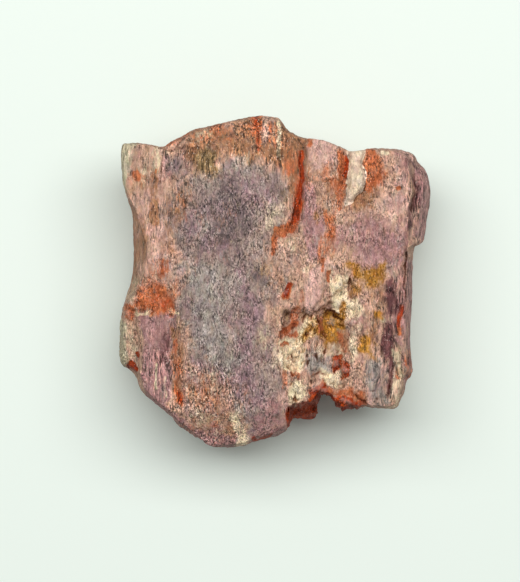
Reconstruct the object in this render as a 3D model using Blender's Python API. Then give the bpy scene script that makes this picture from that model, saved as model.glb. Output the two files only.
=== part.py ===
"""A rough fragment of a bicolor elbaite tourmaline crystal, lying on its flattest prism face.

The stone is one piece. The crystal's c axis runs along Y, and so do its growth ridges. Both ends
are broken. The outline is the stone's widest level seen from above, and the walls run from the
rim of the upper face out to that level and back in to the foot.
Every length below is in millimetres, and the mesh is written in metres.
"""

import bpy
import numpy as np

MM = 0.001

# Cells of the upper face across the ridges and along them, and rows on each half of the wall.
CELLS_ACROSS, CELLS_ALONG = 66, 30
WALL_ROWS = 6
RELAXING_ROUNDS = 400

# The widest outline seen from above, clockwise, +X to the right and +Y away. Each list
# starts at a corner, and the next list's first point ends it.
TOP_EDGE = [
    (-17.9, 15.6), (-17.4, 16.1), (-15.0, 16.0), (-13.1, 15.7), (-12.1, 16.3), (-10.8, 17.0),
    (-9.5, 17.7), (-8.0, 18.0), (-5.6, 18.5), (-3.9, 18.8), (-1.4, 19.3), (-0.3, 19.2),
    (0.6, 18.9), (1.4, 17.8), (2.1, 17.3), (3.2, 16.8), (5.6, 16.5), (8.0, 15.5), (9.0, 15.2),
    (11.5, 15.5), (14.3, 15.4),
]
RIGHT_EDGE = [
    (16.1, 14.8), (16.7, 13.9), (17.6, 13.0), (18.1, 11.6), (18.2, 10.0), (17.8, 7.4),
    (17.5, 5.1), (17.0, 4.4), (16.3, 4.0), (16.1, 1.4), (16.0, -2.1), (15.8, -6.8),
    (16.0, -9.8), (15.9, -11.0), (15.4, -11.7), (15.1, -12.9), (14.6, -13.9),
]
BOTTOM_EDGE = [
    (14.0, -14.8), (12.6, -14.8), (10.1, -14.6), (8.2, -14.9), (7.3, -14.5), (6.7, -13.6),
    (5.9, -13.2), (5.2, -13.5), (5.0, -14.6), (4.9, -15.6), (4.4, -16.1), (2.1, -16.1),
    (1.7, -16.8), (1.2, -17.4), (-0.1, -18.0), (-2.7, -18.7), (-3.6, -19.1), (-5.2, -19.3),
    (-7.2, -19.2), (-8.6, -18.5), (-11.3, -16.7), (-12.3, -15.5), (-14.6, -13.7),
    (-15.7, -12.6), (-16.2, -11.2), (-17.1, -10.2),
]
LEFT_EDGE = [
    (-17.8, -9.9), (-18.2, -9.1), (-18.2, -6.5), (-18.0, -3.6), (-17.2, -1.0), (-16.7, 1.2),
    (-16.6, 4.3), (-16.9, 8.3), (-17.7, 10.9), (-17.9, 13.4),
]

# The wall's shape at places on the outline: (x, y), how far the upper face's rim lies inside
# the outline, the height of the widest level, and how far the foot lies inside.
WALL_STATIONS = [
    ((-17.9, 15.6), 0.8, 7.0, 3.2),
    ((-15.0, 16.0), 0.4, 8.0, 3.6),
    ((-13.1, 15.7), 0.4, 8.5, 3.6),
    ((-11.4, 16.6), 0.7, 6.5, 3.0),
    ((-9.5, 17.7), 0.6, 7.5, 4.0),
    ((-3.9, 18.8), 0.4, 8.5, 4.6),
    ((-0.3, 19.2), 0.6, 8.5, 4.6),
    ((3.2, 16.8), 0.4, 8.0, 3.4),
    ((9.0, 15.2), 0.3, 8.5, 3.0),
    ((14.3, 15.4), 0.6, 7.5, 3.2),
    ((16.7, 13.9), 1.9, 6.5, 2.8),
    ((18.2, 10.0), 2.7, 5.5, 2.6),
    ((17.5, 5.1), 2.4, 5.5, 2.6),
    ((16.3, 4.0), 1.1, 6.5, 2.4),
    ((16.0, -2.1), 0.9, 7.5, 3.0),
    ((15.9, -11.0), 1.2, 7.0, 3.2),
    ((14.0, -14.8), 0.7, 7.5, 3.6),
    ((8.2, -14.9), 0.5, 7.5, 3.2),
    ((6.7, -13.6), 0.7, 6.0, 2.2),
    ((5.2, -13.5), 0.9, 5.5, 2.0),
    ((4.4, -16.1), 2.6, 5.0, 2.6),
    ((2.1, -16.1), 2.2, 5.0, 2.6),
    ((1.2, -17.4), 0.6, 8.0, 3.8),
    ((-5.2, -19.3), 0.6, 8.0, 5.0),
    ((-12.3, -15.5), 0.5, 7.0, 4.2),
    ((-15.7, -12.6), 0.7, 6.5, 3.2),
    ((-17.8, -9.9), 0.7, 5.5, 2.8),
    ((-18.2, -6.5), 0.7, 5.5, 2.6),
    ((-17.2, -1.0), 1.2, 5.5, 2.4),
    ((-16.6, 4.3), 1.9, 5.0, 2.2),
    ((-16.9, 8.3), 0.9, 6.0, 2.6),
    ((-17.9, 13.4), 0.7, 7.0, 3.0),
]

# The rim's corners are rounded over this length.
RIM_SMOOTHING = 0.35

# The upper face: its height, and how it falls away to each side.
CREST_HEIGHT = 13.4
CROWN_CENTRE_Y = 2.0
CROWN_ACROSS, CROWN_ALONG = 0.0016, 0.0022
LEFT_SLOPE_FROM, LEFT_SLOPE = -12.6, 0.30
TOP_SLOPE_FROM, TOP_SLOPE = 15.6, 0.45
BOTTOM_SLOPE_FROM, BOTTOM_SLOPE = -15.0, 0.50

# Areas of the upper face that stand proud or lie low: corners, height, and width of their edge.
AREAS = [
    # The pale sliver, a small crystal in the face
    ([(8.4, 16.2), (10.3, 16.2), (10.2, 13.4), (10.3, 10.9), (9.0, 9.5), (8.1, 9.3), (8.2, 11.5),
      (8.6, 13.5)], 0.50, 0.30),
    # The weathered hollow, and the deeper pit in it
    ([(1.0, -3.3), (2.7, -2.8), (4.3, -3.7), (5.5, -2.8), (6.6, -2.1), (7.5, 0.0), (8.9, 0.4),
      (9.6, -2.1), (9.4, -5.6), (8.2, -7.3), (7.8, -9.3), (8.2, -12.1), (4.1, -13.3),
      (2.9, -11.6), (1.0, -9.8), (0.6, -5.6)], -0.85, 0.55),
    ([(5.0, -3.3), (7.8, -3.5), (8.1, -5.6), (6.8, -7.7), (5.2, -6.8)], -0.70, 0.50),
    # The low block on the left edge
    ([(-19.5, -2.0), (-17.1, -2.7), (-15.9, -3.3), (-15.5, -5.6), (-15.4, -11.5),
      (-19.5, -11.5)], -1.50, 0.50),
    # The low corner of the left face and the wedge beside it
    ([(-13.2, 15.5), (-10.4, 15.9), (-8.9, 15.2), (-9.2, 12.7), (-10.6, 12.0), (-13.0, 11.6)],
     -0.45, 0.35),
    ([(-13.4, 15.2), (-11.5, 15.3), (-9.6, 16.9), (-10.3, 18.5), (-14.5, 17.6)], -1.10, 0.40),
    # The ledge below the notch
    ([(1.4, -14.4), (5.6, -13.6), (5.6, -17.0), (1.4, -17.0)], -4.50, 0.90),
    # Smooth patches of the prism face
    ([(3.3, 17.5), (5.5, 17.5), (7.3, 16.8), (8.0, 14.1), (7.8, 11.6), (3.4, 11.3)], 0.30, 0.30),
    ([(2.9, 2.3), (4.8, 3.1), (5.8, 2.3), (6.1, -0.4), (5.5, -2.1), (4.3, -3.7), (2.8, -2.9),
      (2.6, 0.2)], 0.30, 0.35),
    ([(-15.5, -3.7), (-13.3, -2.6), (-11.3, -3.3), (-10.9, -7.3), (-10.8, -13.7),
      (-12.4, -15.9), (-15.9, -13.5)], 0.40, 0.40),
    ([(0.7, 5.3), (2.9, 5.5), (3.0, 3.2), (0.9, 2.8)], 0.30, 0.40),
    # The narrow dark channel, and the shoulder and lobe outside the right side of the face
    ([(13.0, -1.0), (14.2, -1.0), (13.9, -5.0), (13.3, -8.7), (11.9, -8.7), (12.2, -5.0)],
     -0.45, 0.40),
    ([(15.3, 14.6), (19.0, 14.0), (19.0, 4.6), (16.6, 4.2), (15.2, 4.2), (15.4, 8.9)],
     -1.30, 0.90),
]

# Grooves in the upper face: points along each, half width, depth.
GROOVES = [
    ([(3.1, 17.4), (3.2, 13.0), (2.9, 9.5), (2.6, 7.2), (2.2, 6.0)], 0.55, 1.00),
    ([(2.2, 6.0), (0.9, 5.6), (0.3, 4.6)], 0.40, 0.40),
    ([(-11.2, -3.4), (-11.0, -8.0), (-11.0, -11.0), (-10.7, -14.2)], 0.40, 0.45),
    ([(-15.5, -2.6), (-15.4, -6.0), (-15.5, -10.0)], 0.35, 0.50),
    ([(-13.1, 15.2), (-13.2, 12.5), (-13.3, 10.4)], 0.30, 0.30),
    ([(8.0, 15.0), (7.9, 12.4), (7.8, 11.2)], 0.35, 0.50),
    ([(16.5, 12.8), (16.4, 9.0), (16.1, 5.6)], 0.35, 0.45),
    ([(14.9, 3.0), (14.6, -1.6), (14.0, -6.0), (14.3, -10.6)], 0.40, 0.45),
    ([(12.8, 1.0), (12.2, -3.0), (11.7, -7.0)], 0.40, 0.30),
    ([(12.9, -9.0), (12.3, -11.5), (11.9, -14.4)], 0.35, 0.40),
]

# Broad swells and dips of the upper face: centre, half sizes across and along, height.
SWELLS = [
    ((-11.4, 13.4), (2.0, 2.3), -0.30),
    ((1.3, 11.5), (1.7, 5.6), -0.45),
    ((-13.4, -0.9), (2.4, 1.6), -0.45),
    ((-5.5, 3.0), (6.0, 11.0), 0.35),
    ((-6.0, -12.0), (4.6, 5.2), 0.25),
    ((9.0, -5.2), (1.0, 3.2), 0.35),
    ((13.4, -12.2), (1.2, 2.0), 0.30),
    ((4.0, 12.0), (6.0, 4.0), 0.15),
]

# Long growth ridges of the prism, on the upper face and on the walls: spacing and height, and
# the length over which they change.
FACE_RIDGE_SPACING, FACE_RIDGE_HEIGHT = 1.7, 0.18
WALL_RIDGE_SPACING, WALL_RIDGE_HEIGHT = 2.6, 0.55
RIDGE_LENGTH = 16.0

# Broken ground on the walls: the spacing of its ledges, their height from lowest to highest, how
# many steps that takes, and how far they lie inward.
LEDGE_SPACING, LEDGE_HEIGHT, LEDGE_STEPS, LEDGE_INWARD = 6.5, 1.1, 3, 0.3

# Flat faces broken off the walls: (a point on the face), the direction it faces in degrees from
# +X towards +Y, its tilt above the horizon, and how far it reaches from that point.
CHIPS = [
    ((-15.7, 3.6, 9.0), 178, 20, 6.5),
    ((-15.9, 11.5, 4.2), 184, -28, 7.0),
    ((-16.2, -7.0, 3.6), 176, -36, 6.0),
    ((-13.2, -13.2, 4.0), 226, -32, 6.0),
    ((-5.5, -17.6, 5.0), 268, -30, 6.5),
    ((-1.0, -16.8, 4.2), 292, -24, 5.0),
    ((10.2, -13.6, 5.0), 272, -26, 6.0),
    ((14.6, -8.0, 4.0), 352, -30, 6.5),
    ((15.2, -1.0, 5.0), 4, -20, 5.5),
    ((16.2, 8.6, 3.4), 8, -30, 5.5),
    ((12.6, 14.2, 4.6), 76, -26, 6.0),
    ((5.4, 15.4, 5.0), 84, -18, 5.0),
    ((-2.0, 17.4, 5.6), 96, -28, 6.5),
    ((-9.4, 16.2, 5.4), 112, -30, 5.0),
    ((-15.0, 15.0, 5.0), 104, -20, 4.5),
]

# The foot follows the outline smoothed over this length. The underside bows up towards its
# edge, is flat over this share of its width, and has low lumps.
FOOT_SMOOTHING = 2.2
FOOT_BOW, FLAT_SHARE = 1.6, 0.58
FOOT_LUMP_HEIGHT, FOOT_LUMP_SPACING = 0.35, 6.0

STONE_COLOUR = (0.36, 0.21, 0.20, 1.0)
STONE_ROUGHNESS = 0.55
SHARP_EDGE = np.radians(35)


def hashed(ix, iy, iz, seed):
    """A repeatable number from -1 to 1 for each point of a grid of whole numbers."""
    n = ix * 374761393 + iy * 668265263 + iz * 974634777 + seed * 1274126177
    n = (n ^ (n >> 13)) * 1274126177
    n = (n ^ (n >> 16)) & 0xFFFFFF
    return n / float(0x7FFFFF) - 1.0


def noise(x, y, z, seed):
    """Smooth lumps about one unit across, from -1 to 1: grid values blended along x, y and z."""
    cells = [np.floor(v).astype(np.int64) for v in (x, y, z)]
    parts = [v - c for v, c in zip((x, y, z), cells)]
    parts = [p * p * (3.0 - 2.0 * p) for p in parts]
    total = 0.0
    for corner in np.ndindex(2, 2, 2):
        weight = 1.0
        for step, part in zip(corner, parts):
            weight = weight * np.abs(1 - step - part)
        total = total + weight * hashed(*(c + step for c, step in zip(cells, corner)), seed)
    return total


def smooth(t):
    """0 below 0, 1 above 1, and an S curve between them."""
    t = np.clip(t, 0.0, 1.0)
    return t * t * (3.0 - 2.0 * t)


def stepped(t, steps):
    """The slope from 0 to 1 made a staircase: each step is level, then climbs, then is level."""
    step = np.floor(t * steps)
    return (step + smooth((t * steps - step - 0.3) / 0.4)) / steps


def distance_to_path(x, y, path):
    """The distance from each point to the nearest place on a path of straight runs."""
    best = np.inf
    for (ax, ay), (bx, by) in zip(path, path[1:]):
        run_x, run_y = bx - ax, by - ay
        along = np.clip(((x - ax) * run_x + (y - ay) * run_y) / (run_x**2 + run_y**2), 0.0, 1.0)
        best = np.minimum(best, np.hypot(x - ax - along * run_x, y - ay - along * run_y))
    return best


def depth_inside(x, y, corners):
    """How far each point lies inside a closed outline of straight runs, below 0 outside it."""
    closed = corners + corners[:1]
    inside = False
    for (ax, ay), (bx, by) in zip(closed, closed[1:]):
        if ay != by:
            crosses = (ay > y) != (by > y)
            inside = inside ^ (crosses & (x < (bx - ax) * (y - ay) / (by - ay) + ax))
    distance = distance_to_path(x, y, closed)
    return np.where(inside, distance, -distance)


def crown(x, y):
    """The upper face without its relief: a low crown that slopes off to three of its sides."""
    z = CREST_HEIGHT - CROWN_ACROSS * x**2 - CROWN_ALONG * (y - CROWN_CENTRE_Y) ** 2
    z -= LEFT_SLOPE * np.maximum(0.0, LEFT_SLOPE_FROM - x)
    z -= TOP_SLOPE * np.maximum(0.0, y - TOP_SLOPE_FROM)
    return z - BOTTOM_SLOPE * np.maximum(0.0, BOTTOM_SLOPE_FROM - y)


def relief(x, y):
    """How far the upper face stands above its crown: long ridges along Y, areas with stepped
    edges, grooves with a bell-shaped section, and broad swells."""
    z = FACE_RIDGE_HEIGHT * noise(x / FACE_RIDGE_SPACING, y / RIDGE_LENGTH, 0.0 * x, 3)
    for corners, height, edge in AREAS:
        z += height * smooth(depth_inside(x, y, corners) / edge)
    for path, half_width, depth in GROOVES:
        z -= depth * np.exp(-((distance_to_path(x, y, path) / half_width) ** 2))
    for (cx, cy), (half_x, half_y), height in SWELLS:
        z += height * smooth(1.3 - np.hypot((x - cx) / half_x, (y - cy) / half_y))
    return z


def curve_through(points, steps):
    """A closed smooth curve through the points, in that many steps from each to the next. Its
    slope at each point is half the way from the point before to the point after."""
    p = np.array(points, float)
    before, after, beyond = (np.roll(p, -k, 0)[:, None] for k in (-1, 1, 2))
    p = p[:, None]
    t = (np.arange(steps) / steps)[None, :, None]
    curve = p + t * 0.5 * (after - before)
    curve += t**2 * (before - 2.5 * p + 2.0 * after - 0.5 * beyond)
    curve += t**3 * (1.5 * (p - after) + 0.5 * (beyond - before))
    return curve.reshape(-1, 2)


def outline_ring(cells_across, cells_along):
    """The widest outline as a ring of points, evenly spread on each of its four edges. Distance
    across an edge's own direction counts for less than distance along it."""
    edges = [TOP_EDGE, RIGHT_EDGE, BOTTOM_EDGE, LEFT_EDGE]
    weights = [(1.0, 0.3), (0.3, 1.0)] * 2
    steps = 12
    curve = curve_through([point for edge in edges for point in edge], steps)
    ring, start = [], 0
    for edge, weight, cells in zip(edges, weights, (cells_across, cells_along) * 2):
        end = start + len(edge) * steps
        stretch = np.take(curve, np.arange(start, end + 1), axis=0, mode="wrap")
        travel = np.concatenate([[0.0], np.cumsum(np.abs(np.diff(stretch, axis=0)) @ weight)])
        wanted = np.linspace(0.0, travel[-1], cells + 1)[:-1]
        ring.append(np.column_stack([np.interp(wanted, travel, stretch[:, k]) for k in (0, 1)]))
        start = end
    return np.concatenate(ring)


def places_on(ring):
    """How far round the ring each of its points is, and the whole way round."""
    moves = np.linalg.norm(np.diff(ring, axis=0, append=ring[:1]), axis=1)
    return np.cumsum(moves) - moves, moves.sum()


def wall_values(ring):
    """Rim inset, waist height and foot inset at each point of the ring, blended evenly from
    station to station."""
    place, length = places_on(ring)
    nearest = [np.argmin(np.linalg.norm(ring - np.array(row[0]), axis=1)) for row in WALL_STATIONS]
    values = [np.array([row[k] for row in WALL_STATIONS]) for k in (1, 2, 3)]
    order = np.argsort(place[nearest])
    stations = place[nearest][order]
    return [np.interp(place, stations, v[order], period=length) for v in values]


def smoothed(ring, length):
    """The ring with its small features gone: each point is the mean of those near it on the
    ring, weighted by a bell curve of their distance."""
    place, total = places_on(ring)
    apart = np.abs(place[:, None] - place[None, :])
    weight = np.exp(-((np.minimum(apart, total - apart) / length) ** 2))
    return weight @ ring / weight.sum(axis=1)[:, None]


def pulled_in(ring, inset):
    """The ring moved towards the stone's middle by the inset."""
    return ring * (1.0 - inset / np.linalg.norm(ring, axis=1))[:, None]


def break_up(points, strength):
    """Wall points moved in and out, seen from above, by ledges and by the long ridges."""
    x, y, z = points.T
    ledges = 0.5 + 0.5 * noise(x / LEDGE_SPACING, y / LEDGE_SPACING, z / LEDGE_SPACING, 11)
    ridges = noise(x / WALL_RIDGE_SPACING, y / RIDGE_LENGTH, z / WALL_RIDGE_SPACING, 5)
    out = LEDGE_HEIGHT * (stepped(ledges, LEDGE_STEPS) - 0.5 - LEDGE_INWARD)
    out += WALL_RIDGE_HEIGHT * ridges
    plan = points[:, :2]
    away = plan / np.linalg.norm(plan, axis=1)[:, None]
    return np.column_stack([plan + away * (out * strength)[:, None], z])


def chip_off(points):
    """Points beyond a chip's plane pushed straight back onto it, less so past its reach."""
    for at, facing, tilt, reach in CHIPS:
        a, e = np.radians(facing), np.radians(tilt)
        normal = np.array([np.cos(a) * np.cos(e), np.sin(a) * np.cos(e), np.sin(e)])
        away = points - np.array(at)
        share = smooth(2.0 * (1.0 - np.linalg.norm(away, axis=1) / reach))
        points = points - (np.maximum(0.0, away @ normal) * share)[:, None] * normal
    return points


def foot_height(x, y, out):
    """The underside's height: flat on the ground in the middle and bowing up to its edge, with
    low lumps. out is 0 in the middle and 1 at the edge."""
    lumps = noise(x / FOOT_LUMP_SPACING, y / FOOT_LUMP_SPACING, 0.0 * x, 23)
    return np.maximum(0.0, FOOT_BOW * (out**2 - FLAT_SHARE) + FOOT_LUMP_HEIGHT * lumps)


def wall_rings(ring, rows):
    """Rings of points from the upper face's rim out to the waist and in to the foot, with that
    many rows on each half. Each half is a quarter of an ellipse in section, and the upper
    face's relief dies away over the upper one."""
    inset, waist, foot_inset = wall_values(ring)
    rim = smoothed(pulled_in(ring, inset), RIM_SMOOTHING)
    foot = pulled_in(smoothed(ring, FOOT_SMOOTHING), foot_inset)
    rim_height = crown(*rim.T)
    foot_level = foot_height(*foot.T, 1.0)
    rings = [np.column_stack([rim, rim_height + relief(*rim.T)])]
    for angle in np.linspace(0.0, 0.5 * np.pi, rows + 1)[1:]:
        plan = rim + (ring - rim) * np.sin(angle)
        height = waist + (rim_height - waist + relief(*plan.T)) * np.cos(angle)
        points = break_up(np.column_stack([plan, height]), 0.45 * np.sin(2.0 * angle))
        rings.append(chip_off(points))
    for angle in np.linspace(0.0, 0.5 * np.pi, rows + 1)[1:]:
        plan = ring + (foot - ring) * (1.0 - np.cos(angle))
        height = waist + (foot_level - waist) * np.sin(angle)
        points = break_up(np.column_stack([plan, height]), np.sin(2.0 * angle))
        rings.append(np.maximum(chip_off(points), [-np.inf, -np.inf, 0.0]))
    return rings


def patch(ring, cells_across, cells_along):
    """A grid of points that fills a ring: each blends the four edges, less the corners."""
    closed = np.concatenate([ring, ring[:1]])
    a, b, c = np.cumsum([cells_across, cells_along, cells_across])
    top, right = closed[: a + 1], closed[a : b + 1][::-1, None]
    bottom, left = closed[b : c + 1][::-1], closed[c:][:, None]
    u = np.linspace(0.0, 1.0, cells_across + 1)[None, :, None]
    v = np.linspace(0.0, 1.0, cells_along + 1)[:, None, None]
    grid = (1 - v) * bottom + v * top + (1 - u) * left + u * right
    grid -= (1 - v) * ((1 - u) * bottom[0] + u * bottom[-1])
    grid -= v * ((1 - u) * top[0] + u * top[-1])
    return relaxed(grid).reshape(-1, 2)


def relaxed(grid):
    """The grid with its inner points moved, round by round, to where no lines cross. Each goes
    to the mean of its neighbours, those to its sides weighted by the squared spacing along and
    those before and behind by the squared spacing across, less a term for the grid's skew."""
    for _ in range(RELAXING_ROUNDS):
        west, east, south, north = grid[1:-1, :-2], grid[1:-1, 2:], grid[:-2, 1:-1], grid[2:, 1:-1]
        across, along = east - west, north - south
        side_weight = (along**2).sum(axis=2, keepdims=True)
        end_weight = (across**2).sum(axis=2, keepdims=True)
        skew = 0.5 * (across * along).sum(axis=2, keepdims=True)
        twist = grid[2:, 2:] - grid[2:, :-2] - grid[:-2, 2:] + grid[:-2, :-2]
        moved = side_weight * (east + west) + end_weight * (north + south) - skew * twist
        grid[1:-1, 1:-1] = moved / (2.0 * (side_weight + end_weight))
    return grid


def grid_numbers(cells_across, cells_along, first):
    """The numbers of a grid's points, row by row."""
    index = first + np.arange((cells_across + 1) * (cells_along + 1))
    return index.reshape(cells_along + 1, cells_across + 1)


def grid_rim(index):
    """The numbers of a grid's edge points, clockwise from its top left, as a ring has them."""
    return np.concatenate([index[-1, :-1], index[:0:-1, -1], index[0, :0:-1], index[:-1, 0]])


def grid_faces(index):
    """The grid's four-sided faces, facing up."""
    corners = (index[:-1, :-1], index[:-1, 1:], index[1:, 1:], index[1:, :-1])
    return np.column_stack([corner.ravel() for corner in corners])


def stone_mesh(cells_across, cells_along, rows):
    """The stone's points and its faces: the upper face as a grid, the walls as rings, and the
    underside as a grid with half as many cells each way."""
    ring = outline_ring(cells_across, cells_along)
    rings = wall_rings(ring, rows)
    plan = patch(rings[0][:, :2], cells_across, cells_along)
    points = [np.column_stack([plan, crown(*plan.T) + relief(*plan.T)])]
    index = grid_numbers(cells_across, cells_along, 0)
    faces = grid_faces(index).tolist()
    above, count = grid_rim(index), len(plan)
    for wall_ring in rings[1:]:
        below = count + np.arange(len(ring))
        faces += np.column_stack([above, np.roll(above, -1), np.roll(below, -1), below]).tolist()
        points.append(wall_ring)
        above, count = below, count + len(ring)
    half_across, half_along = cells_across // 2, cells_along // 2
    inner_share = 1.0 - 1.0 / half_across
    x, y = patch(rings[-1][::2, :2] * inner_share, half_across, half_along).T
    u, v = np.meshgrid(np.linspace(-1, 1, half_across + 1), np.linspace(-1, 1, half_along + 1))
    out = inner_share * np.maximum(np.abs(u), np.abs(v)).ravel()
    points.append(np.column_stack([x, y, foot_height(x, y, out)]))
    index = grid_numbers(half_across, half_along, count)
    inner, beyond = grid_rim(index), np.roll(grid_rim(index), -1)
    first, middle, last = above[::2], above[1::2], np.roll(above, -2)[::2]
    faces += np.column_stack([first, middle, inner]).tolist()
    faces += np.column_stack([middle, last, beyond]).tolist()
    faces += np.column_stack([middle, beyond, inner]).tolist()
    faces += grid_faces(index)[:, ::-1].tolist()
    return np.concatenate(points), faces


def stone_material():
    """Pink to mauve stone with a dull, slightly waxy surface."""
    material = bpy.data.materials.new("tourmaline_stone")
    material.use_nodes = True
    shader = material.node_tree.nodes["Principled BSDF"]
    shader.inputs["Base Color"].default_value = STONE_COLOUR
    shader.inputs["Roughness"].default_value = STONE_ROUGHNESS
    shader.inputs["Metallic"].default_value = 0.0
    return material


def build_stone():
    """The stone as one object, standing on the plane z = 0."""
    points, faces = stone_mesh(CELLS_ACROSS, CELLS_ALONG, WALL_ROWS)
    mesh = bpy.data.meshes.new("tourmaline")
    mesh.from_pydata((points * MM).tolist(), [], faces)
    mesh.materials.append(stone_material())
    mesh.shade_smooth()
    mesh.set_sharp_from_angle(angle=SHARP_EDGE)
    stone = bpy.data.objects.new("tourmaline", mesh)
    bpy.context.scene.collection.objects.link(stone)


def main():
    for old in list(bpy.data.objects):
        bpy.data.objects.remove(old)
    build_stone()


main()
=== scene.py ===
"""The looks of a rough piece of bicolor elbaite tourmaline, seen from straight above.

The stone is one surface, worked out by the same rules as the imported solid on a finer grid, with
the fibres, crumbs, lumps and cracks that the solid leaves out. Its stains are held as amounts at
the surface's points, and one material turns them into grains of colour.
Lengths are in millimetres, and the mesh is written in metres.
"""

import math

import bpy
import numpy as np
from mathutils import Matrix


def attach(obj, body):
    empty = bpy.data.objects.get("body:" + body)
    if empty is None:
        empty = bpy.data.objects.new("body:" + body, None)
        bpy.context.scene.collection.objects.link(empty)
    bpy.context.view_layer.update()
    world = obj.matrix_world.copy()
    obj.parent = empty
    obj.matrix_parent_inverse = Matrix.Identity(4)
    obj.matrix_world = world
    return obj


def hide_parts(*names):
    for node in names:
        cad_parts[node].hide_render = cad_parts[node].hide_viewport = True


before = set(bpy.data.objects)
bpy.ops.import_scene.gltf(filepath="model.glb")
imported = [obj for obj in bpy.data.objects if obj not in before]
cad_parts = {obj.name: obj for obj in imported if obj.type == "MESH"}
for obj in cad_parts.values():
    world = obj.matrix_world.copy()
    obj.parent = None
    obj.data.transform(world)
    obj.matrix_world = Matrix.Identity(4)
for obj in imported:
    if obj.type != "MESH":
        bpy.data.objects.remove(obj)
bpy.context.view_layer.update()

MM = 0.001

# The finer grid: cells of the upper face across the ridges and along them, and rows on each half
# of the wall.
CELLS_ACROSS, CELLS_ALONG = 260, 200
WALL_ROWS = 15
RELAXING_ROUNDS = 400

# The widest outline seen from above, clockwise, +X to the right and +Y away. Each list
# starts at a corner, and the next list's first point ends it.
TOP_EDGE = [
    (-17.9, 15.6), (-17.4, 16.1), (-15.0, 16.0), (-13.1, 15.7), (-12.1, 16.3), (-10.8, 17.0),
    (-9.5, 17.7), (-8.0, 18.0), (-5.6, 18.5), (-3.9, 18.8), (-1.4, 19.3), (-0.3, 19.2),
    (0.6, 18.9), (1.4, 17.8), (2.1, 17.3), (3.2, 16.8), (5.6, 16.5), (8.0, 15.5), (9.0, 15.2),
    (11.5, 15.5), (14.3, 15.4),
]
RIGHT_EDGE = [
    (16.1, 14.8), (16.7, 13.9), (17.6, 13.0), (18.1, 11.6), (18.2, 10.0), (17.8, 7.4),
    (17.5, 5.1), (17.0, 4.4), (16.3, 4.0), (16.1, 1.4), (16.0, -2.1), (15.8, -6.8),
    (16.0, -9.8), (15.9, -11.0), (15.4, -11.7), (15.1, -12.9), (14.6, -13.9),
]
BOTTOM_EDGE = [
    (14.0, -14.8), (12.6, -14.8), (10.1, -14.6), (8.2, -14.9), (7.3, -14.5), (6.7, -13.6),
    (5.9, -13.2), (5.2, -13.5), (5.0, -14.6), (4.9, -15.6), (4.4, -16.1), (2.1, -16.1),
    (1.7, -16.8), (1.2, -17.4), (-0.1, -18.0), (-2.7, -18.7), (-3.6, -19.1), (-5.2, -19.3),
    (-7.2, -19.2), (-8.6, -18.5), (-11.3, -16.7), (-12.3, -15.5), (-14.6, -13.7),
    (-15.7, -12.6), (-16.2, -11.2), (-17.1, -10.2),
]
LEFT_EDGE = [
    (-17.8, -9.9), (-18.2, -9.1), (-18.2, -6.5), (-18.0, -3.6), (-17.2, -1.0), (-16.7, 1.2),
    (-16.6, 4.3), (-16.9, 8.3), (-17.7, 10.9), (-17.9, 13.4),
]

# The wall's shape at places on the outline: (x, y), how far the upper face's rim lies inside
# the outline, the height of the widest level, and how far the foot lies inside.
WALL_STATIONS = [
    ((-17.9, 15.6), 0.8, 7.0, 3.2),
    ((-15.0, 16.0), 0.4, 8.0, 3.6),
    ((-13.1, 15.7), 0.4, 8.5, 3.6),
    ((-11.4, 16.6), 0.7, 6.5, 3.0),
    ((-9.5, 17.7), 0.6, 7.5, 4.0),
    ((-3.9, 18.8), 0.4, 8.5, 4.6),
    ((-0.3, 19.2), 0.6, 8.5, 4.6),
    ((3.2, 16.8), 0.4, 8.0, 3.4),
    ((9.0, 15.2), 0.3, 8.5, 3.0),
    ((14.3, 15.4), 0.6, 7.5, 3.2),
    ((16.7, 13.9), 1.9, 6.5, 2.8),
    ((18.2, 10.0), 2.7, 5.5, 2.6),
    ((17.5, 5.1), 2.4, 5.5, 2.6),
    ((16.3, 4.0), 1.1, 6.5, 2.4),
    ((16.0, -2.1), 0.9, 7.5, 3.0),
    ((15.9, -11.0), 1.2, 7.0, 3.2),
    ((14.0, -14.8), 0.7, 7.5, 3.6),
    ((8.2, -14.9), 0.5, 7.5, 3.2),
    ((6.7, -13.6), 0.7, 6.0, 2.2),
    ((5.2, -13.5), 0.9, 5.5, 2.0),
    ((4.4, -16.1), 2.6, 5.0, 2.6),
    ((2.1, -16.1), 2.2, 5.0, 2.6),
    ((1.2, -17.4), 0.6, 8.0, 3.8),
    ((-5.2, -19.3), 0.6, 8.0, 5.0),
    ((-12.3, -15.5), 0.5, 7.0, 4.2),
    ((-15.7, -12.6), 0.7, 6.5, 3.2),
    ((-17.8, -9.9), 0.7, 5.5, 2.8),
    ((-18.2, -6.5), 0.7, 5.5, 2.6),
    ((-17.2, -1.0), 1.2, 5.5, 2.4),
    ((-16.6, 4.3), 1.9, 5.0, 2.2),
    ((-16.9, 8.3), 0.9, 6.0, 2.6),
    ((-17.9, 13.4), 0.7, 7.0, 3.0),
]

# The rim's corners are rounded over this length.
RIM_SMOOTHING = 0.35

# The upper face: its height, and how it falls away to each side.
CREST_HEIGHT = 13.4
CROWN_CENTRE_Y = 2.0
CROWN_ACROSS, CROWN_ALONG = 0.0016, 0.0022
LEFT_SLOPE_FROM, LEFT_SLOPE = -12.6, 0.30
TOP_SLOPE_FROM, TOP_SLOPE = 15.6, 0.45
BOTTOM_SLOPE_FROM, BOTTOM_SLOPE = -15.0, 0.50

SLIVER = [
    (8.4, 16.2), (10.3, 16.2), (10.2, 13.4), (10.3, 10.9), (9.0, 9.5), (8.1, 9.3), (8.2, 11.5),
    (8.6, 13.5),
]

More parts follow.
